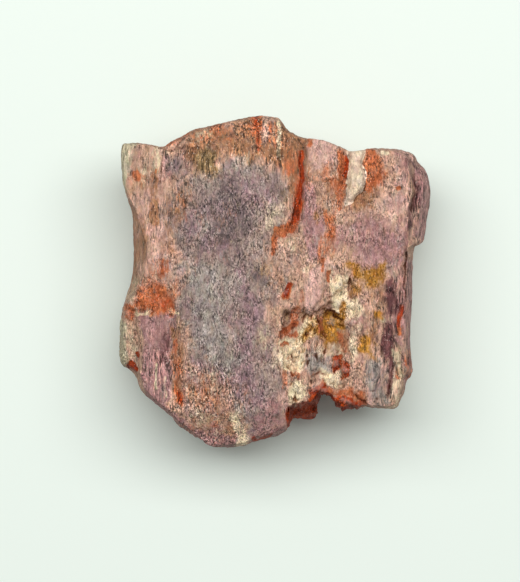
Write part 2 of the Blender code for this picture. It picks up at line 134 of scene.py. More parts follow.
# Areas of the upper face that stand proud or lie low: corners, height, and width of their edge.
AREAS = [
    # The pale sliver, a small crystal in the face
    (SLIVER, 0.50, 0.30),
    # The weathered hollow, and the deeper pit in it
    ([(1.0, -3.3), (2.7, -2.8), (4.3, -3.7), (5.5, -2.8), (6.6, -2.1), (7.5, 0.0), (8.9, 0.4),
      (9.6, -2.1), (9.4, -5.6), (8.2, -7.3), (7.8, -9.3), (8.2, -12.1), (4.1, -13.3),
      (2.9, -11.6), (1.0, -9.8), (0.6, -5.6)], -0.85, 0.55),
    ([(5.0, -3.3), (7.8, -3.5), (8.1, -5.6), (6.8, -7.7), (5.2, -6.8)], -0.70, 0.50),
    # The low block on the left edge
    ([(-19.5, -2.0), (-17.1, -2.7), (-15.9, -3.3), (-15.5, -5.6), (-15.4, -11.5),
      (-19.5, -11.5)], -1.50, 0.50),
    # The low corner of the left face and the wedge beside it
    ([(-13.2, 15.5), (-10.4, 15.9), (-8.9, 15.2), (-9.2, 12.7), (-10.6, 12.0), (-13.0, 11.6)],
     -0.45, 0.35),
    ([(-13.4, 15.2), (-11.5, 15.3), (-9.6, 16.9), (-10.3, 18.5), (-14.5, 17.6)], -1.10, 0.40),
    # The ledge below the notch
    ([(1.4, -14.4), (5.6, -13.6), (5.6, -17.0), (1.4, -17.0)], -4.50, 0.90),
    # Smooth patches of the prism face
    ([(3.3, 17.5), (5.5, 17.5), (7.3, 16.8), (8.0, 14.1), (7.8, 11.6), (3.4, 11.3)], 0.30, 0.30),
    ([(2.9, 2.3), (4.8, 3.1), (5.8, 2.3), (6.1, -0.4), (5.5, -2.1), (4.3, -3.7), (2.8, -2.9),
      (2.6, 0.2)], 0.30, 0.35),
    ([(-15.5, -3.7), (-13.3, -2.6), (-11.3, -3.3), (-10.9, -7.3), (-10.8, -13.7),
      (-12.4, -15.9), (-15.9, -13.5)], 0.40, 0.40),
    ([(0.7, 5.3), (2.9, 5.5), (3.0, 3.2), (0.9, 2.8)], 0.30, 0.40),
    # The narrow dark channel, and the shoulder and lobe outside the right side of the face
    ([(13.0, -1.0), (14.2, -1.0), (13.9, -5.0), (13.3, -8.7), (11.9, -8.7), (12.2, -5.0)],
     -0.45, 0.40),
    ([(15.3, 14.6), (19.0, 14.0), (19.0, 4.6), (16.6, 4.2), (15.2, 4.2), (15.4, 8.9)],
     -1.30, 0.90),
]

# Grooves in the upper face: points along each, half width, depth.
GROOVES = [
    ([(3.1, 17.4), (3.2, 13.0), (2.9, 9.5), (2.6, 7.2), (2.2, 6.0)], 0.55, 1.00),
    ([(2.2, 6.0), (0.9, 5.6), (0.3, 4.6)], 0.40, 0.40),
    ([(-11.2, -3.4), (-11.0, -8.0), (-11.0, -11.0), (-10.7, -14.2)], 0.40, 0.45),
    ([(-15.5, -2.6), (-15.4, -6.0), (-15.5, -10.0)], 0.35, 0.50),
    ([(-13.1, 15.2), (-13.2, 12.5), (-13.3, 10.4)], 0.30, 0.30),
    ([(8.0, 15.0), (7.9, 12.4), (7.8, 11.2)], 0.35, 0.50),
    ([(16.5, 12.8), (16.4, 9.0), (16.1, 5.6)], 0.35, 0.45),
    ([(14.9, 3.0), (14.6, -1.6), (14.0, -6.0), (14.3, -10.6)], 0.40, 0.45),
    ([(12.8, 1.0), (12.2, -3.0), (11.7, -7.0)], 0.40, 0.30),
    ([(12.9, -9.0), (12.3, -11.5), (11.9, -14.4)], 0.35, 0.40),
]

# Broad swells and dips of the upper face: centre, half sizes across and along, height. A swell
# ends at so many times its half sizes.
SWELL_REACH = 1.3
SWELLS = [
    ((-11.4, 13.4), (2.0, 2.3), -0.30),
    ((1.3, 11.5), (1.7, 5.6), -0.45),
    ((-13.4, -0.9), (2.4, 1.6), -0.45),
    ((-5.5, 3.0), (6.0, 11.0), 0.35),
    ((-6.0, -12.0), (4.6, 5.2), 0.25),
    ((9.0, -5.2), (1.0, 3.2), 0.35),
    ((13.4, -12.2), (1.2, 2.0), 0.30),
    ((4.0, 12.0), (6.0, 4.0), 0.15),
]

# Long growth ridges of the prism, on the upper face and on the walls: spacing and height, and
# the length over which they change.
FACE_RIDGE_SPACING, FACE_RIDGE_HEIGHT = 1.7, 0.18
WALL_RIDGE_SPACING, WALL_RIDGE_HEIGHT = 2.6, 0.55
RIDGE_LENGTH = 16.0

# Broken ground on the walls: the spacing of its ledges, their height from lowest to highest, how
# many steps that takes, how far they lie inward, and how much of all this the upper half has.
LEDGE_SPACING, LEDGE_HEIGHT, LEDGE_STEPS, LEDGE_INWARD = 6.5, 1.1, 3, 0.3
UPPER_HALF_SHARE = 0.45

# Flat faces broken off the walls: (a point on the face), the direction it faces in degrees from
# +X towards +Y, its tilt above the horizon, and how far it reaches from that point.
CHIPS = [
    ((-15.7, 3.6, 9.0), 178, 20, 6.5),
    ((-15.9, 11.5, 4.2), 184, -28, 7.0),
    ((-16.2, -7.0, 3.6), 176, -36, 6.0),
    ((-13.2, -13.2, 4.0), 226, -32, 6.0),
    ((-5.5, -17.6, 5.0), 268, -30, 6.5),
    ((-1.0, -16.8, 4.2), 292, -24, 5.0),
    ((10.2, -13.6, 5.0), 272, -26, 6.0),
    ((14.6, -8.0, 4.0), 352, -30, 6.5),
    ((15.2, -1.0, 5.0), 4, -20, 5.5),
    ((16.2, 8.6, 3.4), 8, -30, 5.5),
    ((12.6, 14.2, 4.6), 76, -26, 6.0),
    ((5.4, 15.4, 5.0), 84, -18, 5.0),
    ((-2.0, 17.4, 5.6), 96, -28, 6.5),
    ((-9.4, 16.2, 5.4), 112, -30, 5.0),
    ((-15.0, 15.0, 5.0), 104, -20, 4.5),
]

# The foot follows the outline smoothed over this length. The underside bows up towards its
# edge, is flat over this share of its width, and has low lumps.
FOOT_SMOOTHING = 2.2
FOOT_BOW, FLAT_SHARE = 1.6, 0.58
FOOT_LUMP_HEIGHT, FOOT_LUMP_SPACING = 0.35, 6.0

# How far the edges of areas and stains wander, in two sizes: spacing across and along, how far
# across and along.
WANDERS = [((1.1, 1.7), 0.20, 0.30), ((0.40, 0.65), 0.12, 0.20)]

# Fine relief that covers the stone: spacing across the ridges and along them, height.
FIBRES = [((0.95, 7.0), 0.050), ((0.42, 2.2), 0.045), ((0.30, 0.55), 0.055)]

# The first seed of each noise that the solid doesn't have. A table's rows and the stains count
# on from there, and where a noise moves something both ways, each way has its own.
WANDER_SEED_X, WANDER_SEED_Y = 31, 41
FIBRE_SEED, CRUMB_SEED = 51, 61
LARGE_BLOTCH_SEED, SMALL_BLOTCH_SEED = 81, 101
BROAD_DRIFT_SEED, FINE_DRIFT_SEED, THINNING_SEED = 121, 161, 201

# Crumbs: how many sizes, each half the one before, how much longer than wide they are, how high
# they rise and how deep the creases between them are, and how much lower each size is.
CRUMB_SIZES, CRUMB_LENGTH = 3, 1.5
CRUMB_RISE, CREASE_DEPTH, CRUMB_FADE = 2.8, 0.9, 1.7

# Areas of rougher ground: corners, width of the edge, spacing of the lumps, their height.
ROUGH_AREAS = [
    # The hollow's crumbly floor
    ([(1.0, -3.3), (2.7, -2.8), (4.3, -3.7), (5.5, -2.8), (6.6, -2.1), (6.5, 0.6), (8.9, 0.4),
      (9.6, -2.1), (9.4, -5.6), (8.2, -7.3), (7.8, -9.3), (8.2, -12.1), (4.1, -13.3),
      (1.8, -12.6), (0.6, -9.8), (0.4, -5.6)], 0.8, 0.75, 0.36),
    # The clay around the notch
    ([(1.4, -14.0), (4.2, -12.6), (5.6, -11.6), (8.8, -12.2), (10.8, -13.6), (10.2, -15.6),
      (1.2, -17.2)], 0.6, 0.60, 0.30),
    # The rusty dip on the left
    ([(-16.2, -0.2), (-12.6, 1.0), (-11.2, -0.8), (-11.2, -3.0), (-16.2, -3.0)], 0.6, 0.55, 0.24),
    # The block on the left edge
    ([(-18.6, -2.6), (-15.9, -3.2), (-15.6, -10.0), (-18.6, -10.4)], 0.4, 0.70, 0.20),
    # The sugary lower left
    ([(-11.0, -9.5), (-5.2, -10.5), (-3.6, -14.0), (-3.4, -19.5), (-9.0, -19.2), (-12.8, -15.2)],
     1.2, 0.45, 0.10),
    # The rusty patch beside the sliver
    ([(10.5, 15.4), (12.8, 14.8), (13.0, 11.6), (11.4, 10.8), (10.5, 11.6)], 0.4, 0.50, 0.14),
    # The brown top slope
    ([(-10.5, 17.6), (-0.5, 19.4), (2.6, 17.2), (1.0, 14.0), (-4.0, 14.6), (-9.0, 14.0)],
     0.8, 0.50, 0.09),
]

# Smooth ground, where the fine relief is low: corners, width of the edge, share taken off.
SMOOTH_AREAS = [
    (SLIVER, 0.2, 0.85),
    ([(3.4, 16.8), (7.0, 16.2), (7.3, 12.6), (3.5, 11.5)], 0.6, 0.55),
    ([(3.2, 2.0), (5.8, 1.8), (5.6, -1.6), (4.2, -3.5), (3.0, -2.6)], 0.4, 0.65),
    ([(-15.3, -4.2), (-11.6, -4.0), (-11.6, -8.5), (-15.0, -8.5)], 1.0, 0.70),
    ([(-17.6, 9.0), (-15.0, 7.0), (-15.4, 2.0), (-16.4, -0.5), (-17.6, 1.0)], 0.5, 0.70),
    ([(10.6, -8.8), (12.8, -8.9), (12.6, -13.4), (10.8, -13.6)], 0.5, 0.35),
    ([(9.5, 7.6), (12.6, 10.4), (15.0, 11.0), (15.0, 2.0), (10.0, 2.4)], 1.4, 0.45),
    ([(-18.0, 15.6), (-13.6, 15.4), (-13.6, 8.0), (-16.6, 8.0)], 0.8, 0.35),
]

# Cracks and ledges' shadows: points along each, half width, depth, how dark.
CRACKS = [
    ([(9.1, 9.5), (9.6, 9.9), (10.1, 10.4)], 0.08, 0.15, 0.60),
    ([(10.35, 11.3), (10.3, 10.6)], 0.10, 0.18, 0.56),
    ([(-16.7, 8.6), (-16.4, 8.2), (-15.6, 7.2), (-15.2, 6.8)], 0.11, 0.11, 0.36),
    ([(-13.3, 15.4), (-12.5, 15.4), (-11.8, 15.5), (-10.5, 16.6)], 0.11, 0.18, 0.48),
    ([(-13.0, 14.3), (-13.1, 12.9), (-13.2, 11.5)], 0.11, 0.15, 0.48),
    ([(2.35, 9.8), (2.3, 8.3), (2.2, 7.0)], 0.11, 0.18, 0.60),
    ([(3.1, 9.0), (3.05, 7.0)], 0.10, 0.15, 0.52),
    ([(4.0, 6.8), (4.0, 5.0)], 0.10, 0.10, 0.32),
    ([(6.2, -1.9), (6.5, -1.6), (6.8, -1.7)], 0.10, 0.18, 0.56),
    ([(3.2, -4.2), (3.5, -4.0), (3.9, -4.1)], 0.10, 0.18, 0.56),
    ([(5.9, -3.7), (6.0, -3.3), (6.9, -3.6), (6.9, -4.2), (7.8, -4.1)], 0.12, 0.27, 0.76),
    ([(5.0, -4.5), (5.1, -4.7)], 0.16, 0.30, 0.72),
    ([(5.3, -5.0), (5.3, -6.0)], 0.10, 0.18, 0.48),
    ([(3.55, -6.0), (3.65, -6.2)], 0.14, 0.24, 0.64),
    ([(8.7, 0.3), (8.5, -0.8)], 0.10, 0.15, 0.40),
    ([(8.45, -4.6), (8.55, -4.8)], 0.14, 0.24, 0.64),
    ([(9.6, -2.9), (9.9, -2.4)], 0.10, 0.18, 0.56),
    ([(3.75, -7.4), (3.75, -8.6), (3.8, -10.4)], 0.10, 0.18, 0.48),
    ([(4.9, -7.2), (4.9, -8.6)], 0.10, 0.18, 0.52),
    ([(5.75, -7.8), (5.7, -9.6)], 0.10, 0.18, 0.60),
    ([(2.0, -8.2), (2.05, -8.5)], 0.12, 0.21, 0.68),
    ([(2.3, -12.5), (2.35, -13.3), (2.4, -14.0)], 0.10, 0.24, 0.48),
    ([(13.8, -9.3), (14.4, -9.3)], 0.10, 0.15, 0.48),
    ([(13.5, -9.3), (13.3, -10.5), (13.1, -12.0), (12.8, -13.5)], 0.13, 0.21, 0.44),
    ([(9.2, -13.1), (9.9, -13.6), (10.7, -14.1)], 0.10, 0.24, 0.60),
    ([(11.2, -12.6), (11.7, -12.7)], 0.10, 0.15, 0.56),
    ([(11.65, -13.4), (11.8, -13.6)], 0.12, 0.18, 0.64),
    ([(10.0, -8.5), (10.0, -10.0)], 0.10, 0.13, 0.44),
    ([(15.1, 3.4), (14.9, 1.8), (14.95, 0.6), (14.8, -0.6), (15.1, -2.6)], 0.12, 0.20, 0.65),
    ([(15.25, 2.0), (15.2, 0.0)], 0.10, 0.12, 0.40),
    ([(16.2, 12.6), (16.1, 10.0), (15.9, 8.0)], 0.25, 0.15, 0.50),
    # Painted shade with no depth, partly dark clay: the dark ring round the nodule on the rim by
    # the notch.
    ([(8.1, -13.9), (8.9, -14.1)], 0.25, 0.00, 0.65),
    ([(-2.05, 19.0), (-1.9, 16.0)], 0.16, 0.05, 0.50),
    ([(-16.2, -2.2), (-15.8, -2.3)], 0.11, 0.15, 0.48),
    ([(-15.5, -6.8), (-15.45, -8.2)], 0.11, 0.21, 0.48),
    ([(-13.65, -2.4), (-13.5, -2.6)], 0.12, 0.18, 0.44),
    ([(-4.45, -16.1), (-4.5, -16.3)], 0.12, 0.18, 0.68),
    ([(-8.5, 14.8), (-7.2, 14.7), (-6.0, 14.8)], 0.11, 0.09, 0.36),
    ([(13.45, 14.65), (13.55, 14.55)], 0.10, 0.07, 0.40),
    ([(14.05, 14.15), (14.2, 14.0)], 0.10, 0.07, 0.40),
]

# Small rounded lumps: centre, radius, height. A lump ends at so many times its radius.
LUMP_REACH = 1.2
LUMPS = [
    ((8.2, -13.7), 0.55, 0.35),
    ((7.5, -13.5), 0.45, 0.30),
    ((5.9, -12.4), 0.40, 0.30),
    ((6.9, -12.4), 0.45, 0.25),
    ((9.1, -12.9), 0.60, 0.25),
    ((7.0, -9.4), 0.50, 0.40),
    ((8.1, -10.1), 0.45, 0.40),
    ((7.4, -0.4), 0.70, 0.35),
    ((7.2, -2.5), 0.60, 0.45),
    ((8.9, -2.6), 0.60, 0.30),
    ((4.2, -5.0), 0.50, 0.40),
    ((6.4, -5.0), 0.45, 0.40),
    ((2.2, -7.6), 0.60, 0.30),
    ((6.6, -11.1), 0.55, 0.35),
    ((1.2, -1.2), 0.50, 0.20),
    ((2.3, -4.2), 0.50, 0.30),
    ((-17.0, -3.7), 0.60, 0.35),
    ((15.3, -10.2), 0.70, 0.30),
    ((9.3, 6.4), 0.20, 0.10),
]


def stain(pale, deep, hidden, all_over=0.0, soft=0.5, wide=3.0, mottle=1.0, down_to=2.5):
    """A stain's looks: a pale and a deep colour as seen on a screen, how much there is of it on
    the sides and the underside, and how much all over the upper side. Then how soft the edges
    of its grains are, how many times wider than given the edges of its areas are, how unevenly
    its grains take it, and the height down to which it keeps to its areas and streaks."""
    return dict(pale=pale, deep=deep, hidden=hidden, all_over=all_over, soft=soft, wide=wide,
                mottle=mottle, down_to=down_to)


# The ground's pale and deep colours, and the stains, in the order in which they lie over it.
GROUND = ((212, 172, 148), (172, 133, 113))
STAINS = {
    "haze": stain(pale=(172, 149, 138), deep=(132, 112, 105), all_over=0.2, hidden=0.4, mottle=0.9),
    "rose": stain(pale=(222, 184, 170), deep=(204, 158, 143), all_over=0.28, hidden=0.5),
    "lilac": stain(pale=(166, 138, 137), deep=(128, 102, 105), all_over=0.25, hidden=0.6),
    "mauve": stain(pale=(190, 148, 142), deep=(144, 103, 101), all_over=0.2, hidden=0.5, wide=2.6),
    "ash": stain(pale=(178, 166, 156), deep=(144, 131, 125), all_over=0.32, hidden=0.3),
    "dusk": stain(pale=(136, 118, 114), deep=(92, 78, 80), all_over=0.16, hidden=0.3, soft=0.55),
    "brown": stain(pale=(182, 134, 102), deep=(128, 88, 64), all_over=0.25, hidden=0.45),
    "olive": stain(pale=(166, 136, 102), deep=(114, 90, 60), all_over=0.1, hidden=0.15),
    "cream": stain(pale=(252, 232, 196), deep=(218, 192, 158), all_over=0.2, hidden=0.25, wide=2.6),
    "ochre": stain(pale=(196, 144, 70), deep=(152, 98, 42), hidden=0.15),
    "rust": stain(pale=(206, 128, 90), deep=(156, 80, 48), all_over=0.1, hidden=0.3, wide=3.2),
    "clay": stain(pale=(186, 82, 40), deep=(122, 42, 16), hidden=0.12, soft=0.45, wide=2.0,
                  mottle=0.8, down_to=-1.0),
    "plum": stain(pale=(134, 94, 92), deep=(88, 56, 56), hidden=0.25),
    "moss": stain(pale=(206, 194, 166), deep=(170, 158, 130), hidden=0.15, soft=0.45, wide=2.4,
                  mottle=0.9),
    "bone": stain(pale=(236, 214, 190), deep=(208, 180, 152), hidden=0.0, soft=0.1, wide=1.0,
                  mottle=0.35),
}

# Where each stain lies: corners, width of the edge, how much.
STAIN_AREAS = {
    "haze": [
        ([(-10.5, 11.5), (-6.0, 12.9), (-2.0, 13.4), (0.8, 12.4), (1.0, 8.0), (-0.4, 6.0),
          (-1.0, 3.0), (-0.6, -1.0), (-1.0, -5.0), (-0.8, -9.0), (0.8, -12.0), (-1.0, -16.0),
          (-4.6, -15.6), (-6.0, -11.0), (-10.4, -9.6), (-11.0, -4.0), (-10.0, 0.0), (-10.8, 3.0),
          (-13.0, 5.0), (-13.0, 8.0)], 1.0, 0.95),
        ([(1.5, 5.0), (3.5, 5.0), (3.2, 0.5), (1.0, -1.0), (0.6, 1.0)], 1.0, 0.6),
        ([(-12.8, 14.8), (-10.0, 14.6), (-9.4, 12.8), (-10.6, 12.0), (-12.8, 12.4)], 0.8, 0.65),
        ([(3.0, -7.4), (6.4, -7.4), (6.4, -11.4), (3.0, -11.4)], 0.8, 0.6),
        ([(10.4, -8.8), (13.2, -8.8), (13.0, -14.0), (10.8, -14.4)], 0.6, 0.7),
    ],
    "rose": [
        ([(3.5, 17.0), (5.6, 16.8), (7.4, 15.9), (7.6, 13.8), (6.4, 12.6), (3.6, 12.4),
          (3.3, 14.5)], 0.5, 0.95),
        ([(4.2, 1.4), (5.8, 1.6), (5.9, 0.0), (5.4, -2.0), (5.0, -3.0), (4.0, -3.6), (3.2, -3.0),
          (3.1, -1.5), (3.8, 0.0)], 0.4, 0.9),
        ([(11.6, 10.4), (14.8, 11.0), (15.0, 7.8), (13.0, 7.4), (11.6, 8.2)], 1.0, 0.8),
        ([(12.8, 15.6), (15.8, 15.2), (15.6, 11.0), (13.8, 11.4), (13.0, 13.0)], 0.8, 0.6),
        ([(-15.2, 6.6), (-13.0, 6.0), (-11.3, 3.0), (-11.0, 0.4), (-13.0, 1.0), (-15.6, 0.2),
          (-15.6, 2.5)], 1.0, 0.7),
        ([(-14.6, 13.4), (-13.4, 13.2), (-13.2, 8.0), (-15.0, 6.8), (-16.2, 9.0),
          (-15.2, 11.0)], 0.8, 0.6),
        ([(0.0, -12.0), (1.8, -12.4), (1.8, -16.6), (0.6, -17.3), (-0.3, -15.0)], 0.6, 0.5),
        ([(9.8, -9.5), (11.0, -9.4), (11.2, -13.0), (11.6, -14.6), (10.2, -14.2)], 0.5, 0.95),
    ],
    "lilac": [
        ([(-5.2, 1.4), (-2.6, 1.0), (-2.0, -3.0), (-1.6, -6.0), (-3.0, -7.0), (-4.6, -5.0),
          (-5.2, -2.0)], 1.0, 0.85),
        ([(-4.8, -7.0), (-2.6, -6.5), (-1.6, -9.0), (-0.3, -11.3), (0.2, -13.5), (1.2, -15.0),
          (0.6, -17.3), (-2.0, -17.9), (-3.4, -15.5), (-4.8, -13.0), (-5.2, -10.0)], 1.0, 0.95),
        ([(-8.6, 11.2), (-6.0, 11.0), (-5.0, 9.5), (-5.2, 6.0), (-5.0, 3.0), (-7.0, 2.2),
          (-9.2, 4.0), (-9.6, 8.0)], 0.8, 0.7),
        ([(-5.6, 13.0), (-2.6, 13.8), (0.2, 12.8), (0.4, 9.0), (-1.0, 7.4), (-3.2, 9.0),
          (-4.8, 11.0)], 1.0, 0.6),
        ([(-12.8, 15.0), (-10.4, 15.0), (-9.6, 13.0), (-10.4, 11.8), (-12.8, 11.6)], 0.8, 0.25),
        ([(-10.6, -7.8), (-6.5, -8.2), (-5.0, -10.2), (-8.0, -10.4)], 0.6, 0.6),
        ([(-9.5, -1.0), (-7.0, -1.5), (-5.4, -5.0), (-8.6, -8.0), (-10.4, -5.0)], 0.8, 0.5),
        ([(-11.0, -9.4), (-4.4, -9.4), (-4.0, -14.0), (-5.0, -18.0), (-9.0, -17.4),
          (-12.0, -14.0)], 1.2, 0.4),
    ],
    "mauve": [
        ([(3.3, 11.4), (5.0, 11.2), (5.1, 7.0), (4.9, 3.0), (3.6, 2.2), (2.9, 4.0), (3.0, 6.8),
          (3.3, 9.0)], 0.6, 0.85),
        ([(6.6, 7.6), (9.5, 8.0), (12.5, 7.9), (14.6, 6.6), (14.8, 3.0), (13.6, 1.8), (10.4, 2.2),
          (7.6, 2.6), (6.2, 3.6)], 1.1, 0.7),
        ([(10.0, 7.6), (12.6, 7.5), (13.6, 5.5), (13.4, 2.4), (11.0, 2.4), (10.0, 4.6)], 0.9, 0.6),
        ([(-13.1, 14.8), (-12.2, 14.8), (-12.0, 11.6), (-13.2, 11.4)], 0.4, 0.6),
        ([(-15.6, -3.9), (-14.2, -3.5), (-13.3, -2.9), (-11.4, -3.6), (-11.4, -7.0), (-11.8, -10.0),
          (-11.8, -13.6), (-13.4, -14.6), (-15.4, -12.2), (-15.5, -8.0)], 0.3, 1.0),
        ([(13.6, 15.2), (15.8, 14.8), (15.8, 8.0), (15.0, 3.0), (14.2, 4.0), (14.6, 9.0),
          (14.0, 12.0)], 0.8, 0.6),
        ([(16.2, 14.4), (18.8, 12.5), (18.8, 5.5), (17.0, 4.0), (16.2, 5.0),
          (16.5, 9.0)], 0.5, 0.95),
        ([(15.2, 2.6), (16.6, 2.6), (16.5, -8.0), (15.3, -7.5)], 0.3, 0.9),
        ([(12.9, 3.2), (15.2, 3.6), (15.2, -7.6), (13.8, -7.6), (12.8, -3.0)], 0.8, 0.7),
        ([(8.2, -4.3), (10.0, -4.4), (10.0, -9.0), (8.4, -9.4)], 0.6, 0.45),
        ([(-9.0, -17.2), (-6.5, -17.0), (-5.0, -18.0), (-4.4, -19.8), (-8.5, -19.8),
          (-10.0, -18.6)], 0.6, 0.9),
        ([(10.0, -1.5), (10.6, -2.5), (11.2, -6.0), (10.2, -6.0), (9.9, -4.0)], 0.6, 0.7),
        ([(14.6, -8.4), (16.4, -8.4), (16.4, -12.0), (15.0, -12.4)], 0.3, 1.0),
        ([(-3.0, -14.4), (1.4, -13.6), (1.6, -17.0), (0.0, -18.4), (-2.8, -19.0)], 0.9, 0.75),
    ],
    "ash": [
        ([(-10.4, 0.8), (-8.4, 1.2), (-5.8, 0.8), (-5.4, -2.4), (-4.6, -4.0), (-4.8, -6.4),
          (-5.4, -8.6), (-7.0, -9.4), (-9.6, -9.2), (-10.9, -6.6), (-10.4, -2.6)], 1.4, 0.85),
        ([(-6.6, 12.8), (-4.6, 13.4), (-2.6, 13.4), (-1.2, 12.4), (-4.4, 11.0), (-5.6, 10.4),
          (-6.8, 11.2)], 1.0, 0.6),
        ([(10.6, -8.8), (12.4, -8.9), (12.9, -10.5), (12.5, -13.2), (11.6, -14.2), (10.7, -12.6),
          (10.4, -10.4)], 0.6, 0.75),
        ([(3.4, -7.6), (5.0, -7.4), (6.0, -8.2), (6.1, -10.8), (4.8, -11.8),
          (3.4, -10.8)], 0.5, 0.8),
        ([(-8.6, 7.6), (-6.8, 7.6), (-6.6, 5.0), (-8.6, 5.0)], 0.9, 0.5),
    ],
    "dusk": [
        ([(-8.8, 10.9), (-6.4, 11.0), (-4.8, 9.9), (-3.7, 8.2), (-3.9, 5.8), (-4.4, 4.0),
          (-3.4, 2.2), (-1.6, 0.8), (-1.4, -0.5), (-3.4, -0.2), (-5.6, 1.2), (-7.6, 2.6),
          (-8.9, 5.0), (-9.4, 8.0)], 1.6, 0.8),
        ([(-7.8, 9.9), (-6.0, 9.9), (-5.0, 8.6), (-6.4, 8.0), (-7.9, 8.6)], 0.8, 0.5),
        ([(-4.9, 8.8), (-3.8, 8.6), (-3.5, 7.0), (-4.6, 6.4), (-5.2, 7.4)], 0.7, 0.5),
        ([(-5.4, 5.8), (-4.4, 5.8), (-4.3, 3.8), (-5.4, 3.8)], 0.8, 0.5),
        ([(-12.6, 7.4), (-9.6, 7.8), (-9.2, 4.6), (-9.6, 2.6), (-12.4, 4.4)], 1.2, 0.4),
        ([(-6.4, -5.0), (-4.8, -5.6), (-4.4, -8.6), (-6.8, -8.0)], 1.0, 0.3),
        ([(-6.5, -8.2), (-3.8, -8.2), (-3.8, -11.0), (-6.5, -11.0)], 1.0, 0.6),
        ([(-9.4, -10.6), (-6.8, -10.6), (-6.8, -13.4), (-9.4, -13.4)], 1.0, 0.4),
        ([(-10.9, -4.6), (-9.8, -4.9), (-9.6, -6.4), (-10.8, -6.8)], 0.6, 0.5),
        ([(-13.1, 15.2), (-10.4, 15.3), (-9.2, 14.2), (-9.4, 13.0), (-11.0, 13.4), (-12.4, 12.4),
          (-13.1, 12.4)], 0.6, 0.6),
        ([(-6.0, -1.2), (-5.2, -1.2), (-5.0, -3.2), (-5.8, -3.4)], 0.8, 0.5),
    ],
    "brown": [
        ([(-17.3, 9.2), (-16.5, 8.3), (-15.6, 7.2), (-14.8, 6.8), (-15.0, 5.0), (-15.2, 3.5),
          (-15.6, 2.0), (-16.0, 0.6), (-16.3, -1.0), (-17.8, -1.0), (-17.4, 4.0)], 0.3, 0.6),
        ([(-9.8, 16.6), (-8.6, 17.8), (-5.0, 18.8), (-1.6, 19.6), (-1.5, 15.0), (-3.5, 14.8),
          (-5.6, 14.4), (-6.6, 13.2), (-8.4, 12.8), (-9.4, 14.4)], 0.9, 0.85),
        ([(0.9, 18.4), (2.2, 17.4), (3.4, 17.0), (3.4, 14.0), (3.2, 11.5), (2.8, 9.0), (1.6, 9.4),
          (1.5, 12.0), (0.6, 13.4), (-1.3, 14.2), (-1.4, 16.0)], 0.6, 0.85),
        ([(-13.6, 10.4), (-10.2, 10.6), (-9.6, 8.0), (-9.8, 5.0), (-12.0, 2.4), (-14.4, 2.6),
          (-13.6, 6.4)], 1.2, 0.5),
        ([(8.6, 9.8), (10.2, 10.8), (12.0, 10.4), (11.6, 8.2), (9.0, 7.8)], 0.6, 0.95),
        ([(10.2, 0.2), (13.2, 0.6), (13.0, -2.4), (12.4, -4.0), (11.0, -4.2),
          (10.4, -2.6)], 0.8, 0.6),
        ([(10.9, -3.8), (11.8, -3.9), (11.7, -6.2), (10.9, -6.2)], 0.4, 0.7),
        ([(-10.8, -10.2), (-7.5, -10.2), (-4.4, -12.0), (-4.4, -18.2), (-8.4, -18.4),
          (-11.0, -16.8), (-12.0, -14.6)], 1.4, 0.45),
        ([(-2.4, 3.0), (-0.6, 2.6), (-0.2, -0.2), (-1.6, 0.4)], 0.9, 0.5),
        ([(5.2, 12.6), (8.0, 12.0), (8.2, 9.0), (6.6, 7.6), (5.2, 8.2)], 0.9, 0.55),
        ([(8.4, -12.2), (10.4, -12.6), (10.6, -14.0), (8.6, -13.8)], 0.4, 0.7),
        ([(-16.8, 13.2), (-14.8, 13.2), (-14.6, 11.0), (-16.8, 11.0)], 0.6, 0.7),
        ([(4.8, -4.0), (8.0, -4.0), (8.1, -8.0), (5.2, -7.4)], 0.5, 0.8),
    ],
    "olive": [
        ([(-9.0, 14.8), (-6.2, 14.5), (-6.0, 12.8), (-8.0, 12.3), (-9.0, 13.2)], 0.6, 1.0),
        ([(0.5, 11.4), (1.5, 11.2), (1.6, 7.2), (0.5, 7.0)], 0.5, 0.5),
        ([(0.1, -2.6), (1.3, -2.8), (1.5, -4.6), (0.6, -5.2), (0.0, -4.0)], 0.5, 0.7),
        ([(-1.8, 2.2), (-0.6, 2.0), (-0.7, 1.0), (-1.7, 1.0)], 0.6, 0.7),
        ([(-10.9, -0.4), (-9.8, -0.5), (-9.6, -6.0), (-11.0, -6.0)], 0.8, 0.4),
    ],
    "cream": [
        ([(0.5, 5.5), (2.8, 5.6), (2.9, 3.6), (0.8, 3.3)], 0.5, 0.45),
        ([(6.4, 0.8), (8.6, 0.6), (8.6, -1.4), (7.8, -3.2), (6.6, -3.2), (6.6, -1.6)], 0.3, 1.0),
        ([(8.0, -1.4), (9.6, -1.8), (9.8, -3.6), (8.2, -4.0)], 0.4, 0.9),
        ([(0.8, -6.4), (3.0, -6.6), (3.8, -7.4), (3.6, -10.0), (1.4, -10.0),
          (0.6, -8.6)], 0.4, 1.0),
        ([(1.8, -11.0), (4.0, -11.0), (4.0, -13.2), (2.2, -14.2)], 0.5, 0.8),
        ([(8.2, -4.3), (9.6, -4.4), (9.8, -8.8), (8.4, -9.2)], 0.5, 0.6),
        ([(5.8, -7.4), (7.2, -7.4), (7.2, -8.8), (5.8, -8.6)], 0.5, 0.75),
        ([(5.6, -10.0), (7.2, -10.0), (7.2, -11.8), (5.8, -11.9)], 0.4, 1.0),
        ([(13.4, -7.2), (14.6, -7.6), (14.7, -11.0), (14.6, -14.2), (13.0, -15.0), (13.4, -11.0),
          (13.9, -9.4)], 0.4, 0.6),
        ([(-4.9, -15.4), (-3.8, -15.6), (-3.5, -18.8), (-4.6, -19.4)], 0.4, 0.7),
        ([(-15.8, 15.0), (-13.6, 15.0), (-13.6, 11.8), (-15.4, 11.8)], 1.3, 0.6),
        ([(-17.4, -4.4), (-15.7, -4.5), (-15.6, -9.4), (-17.2, -9.7)], 0.4, 0.35),
        ([(-1.2, 11.0), (1.3, 10.5), (1.4, 7.0), (-1.4, 6.5)], 1.0, 0.4),
        ([(-1.9, -4.5), (0.6, -5.0), (0.8, -9.0), (-1.4, -9.4)], 1.2, 0.45),
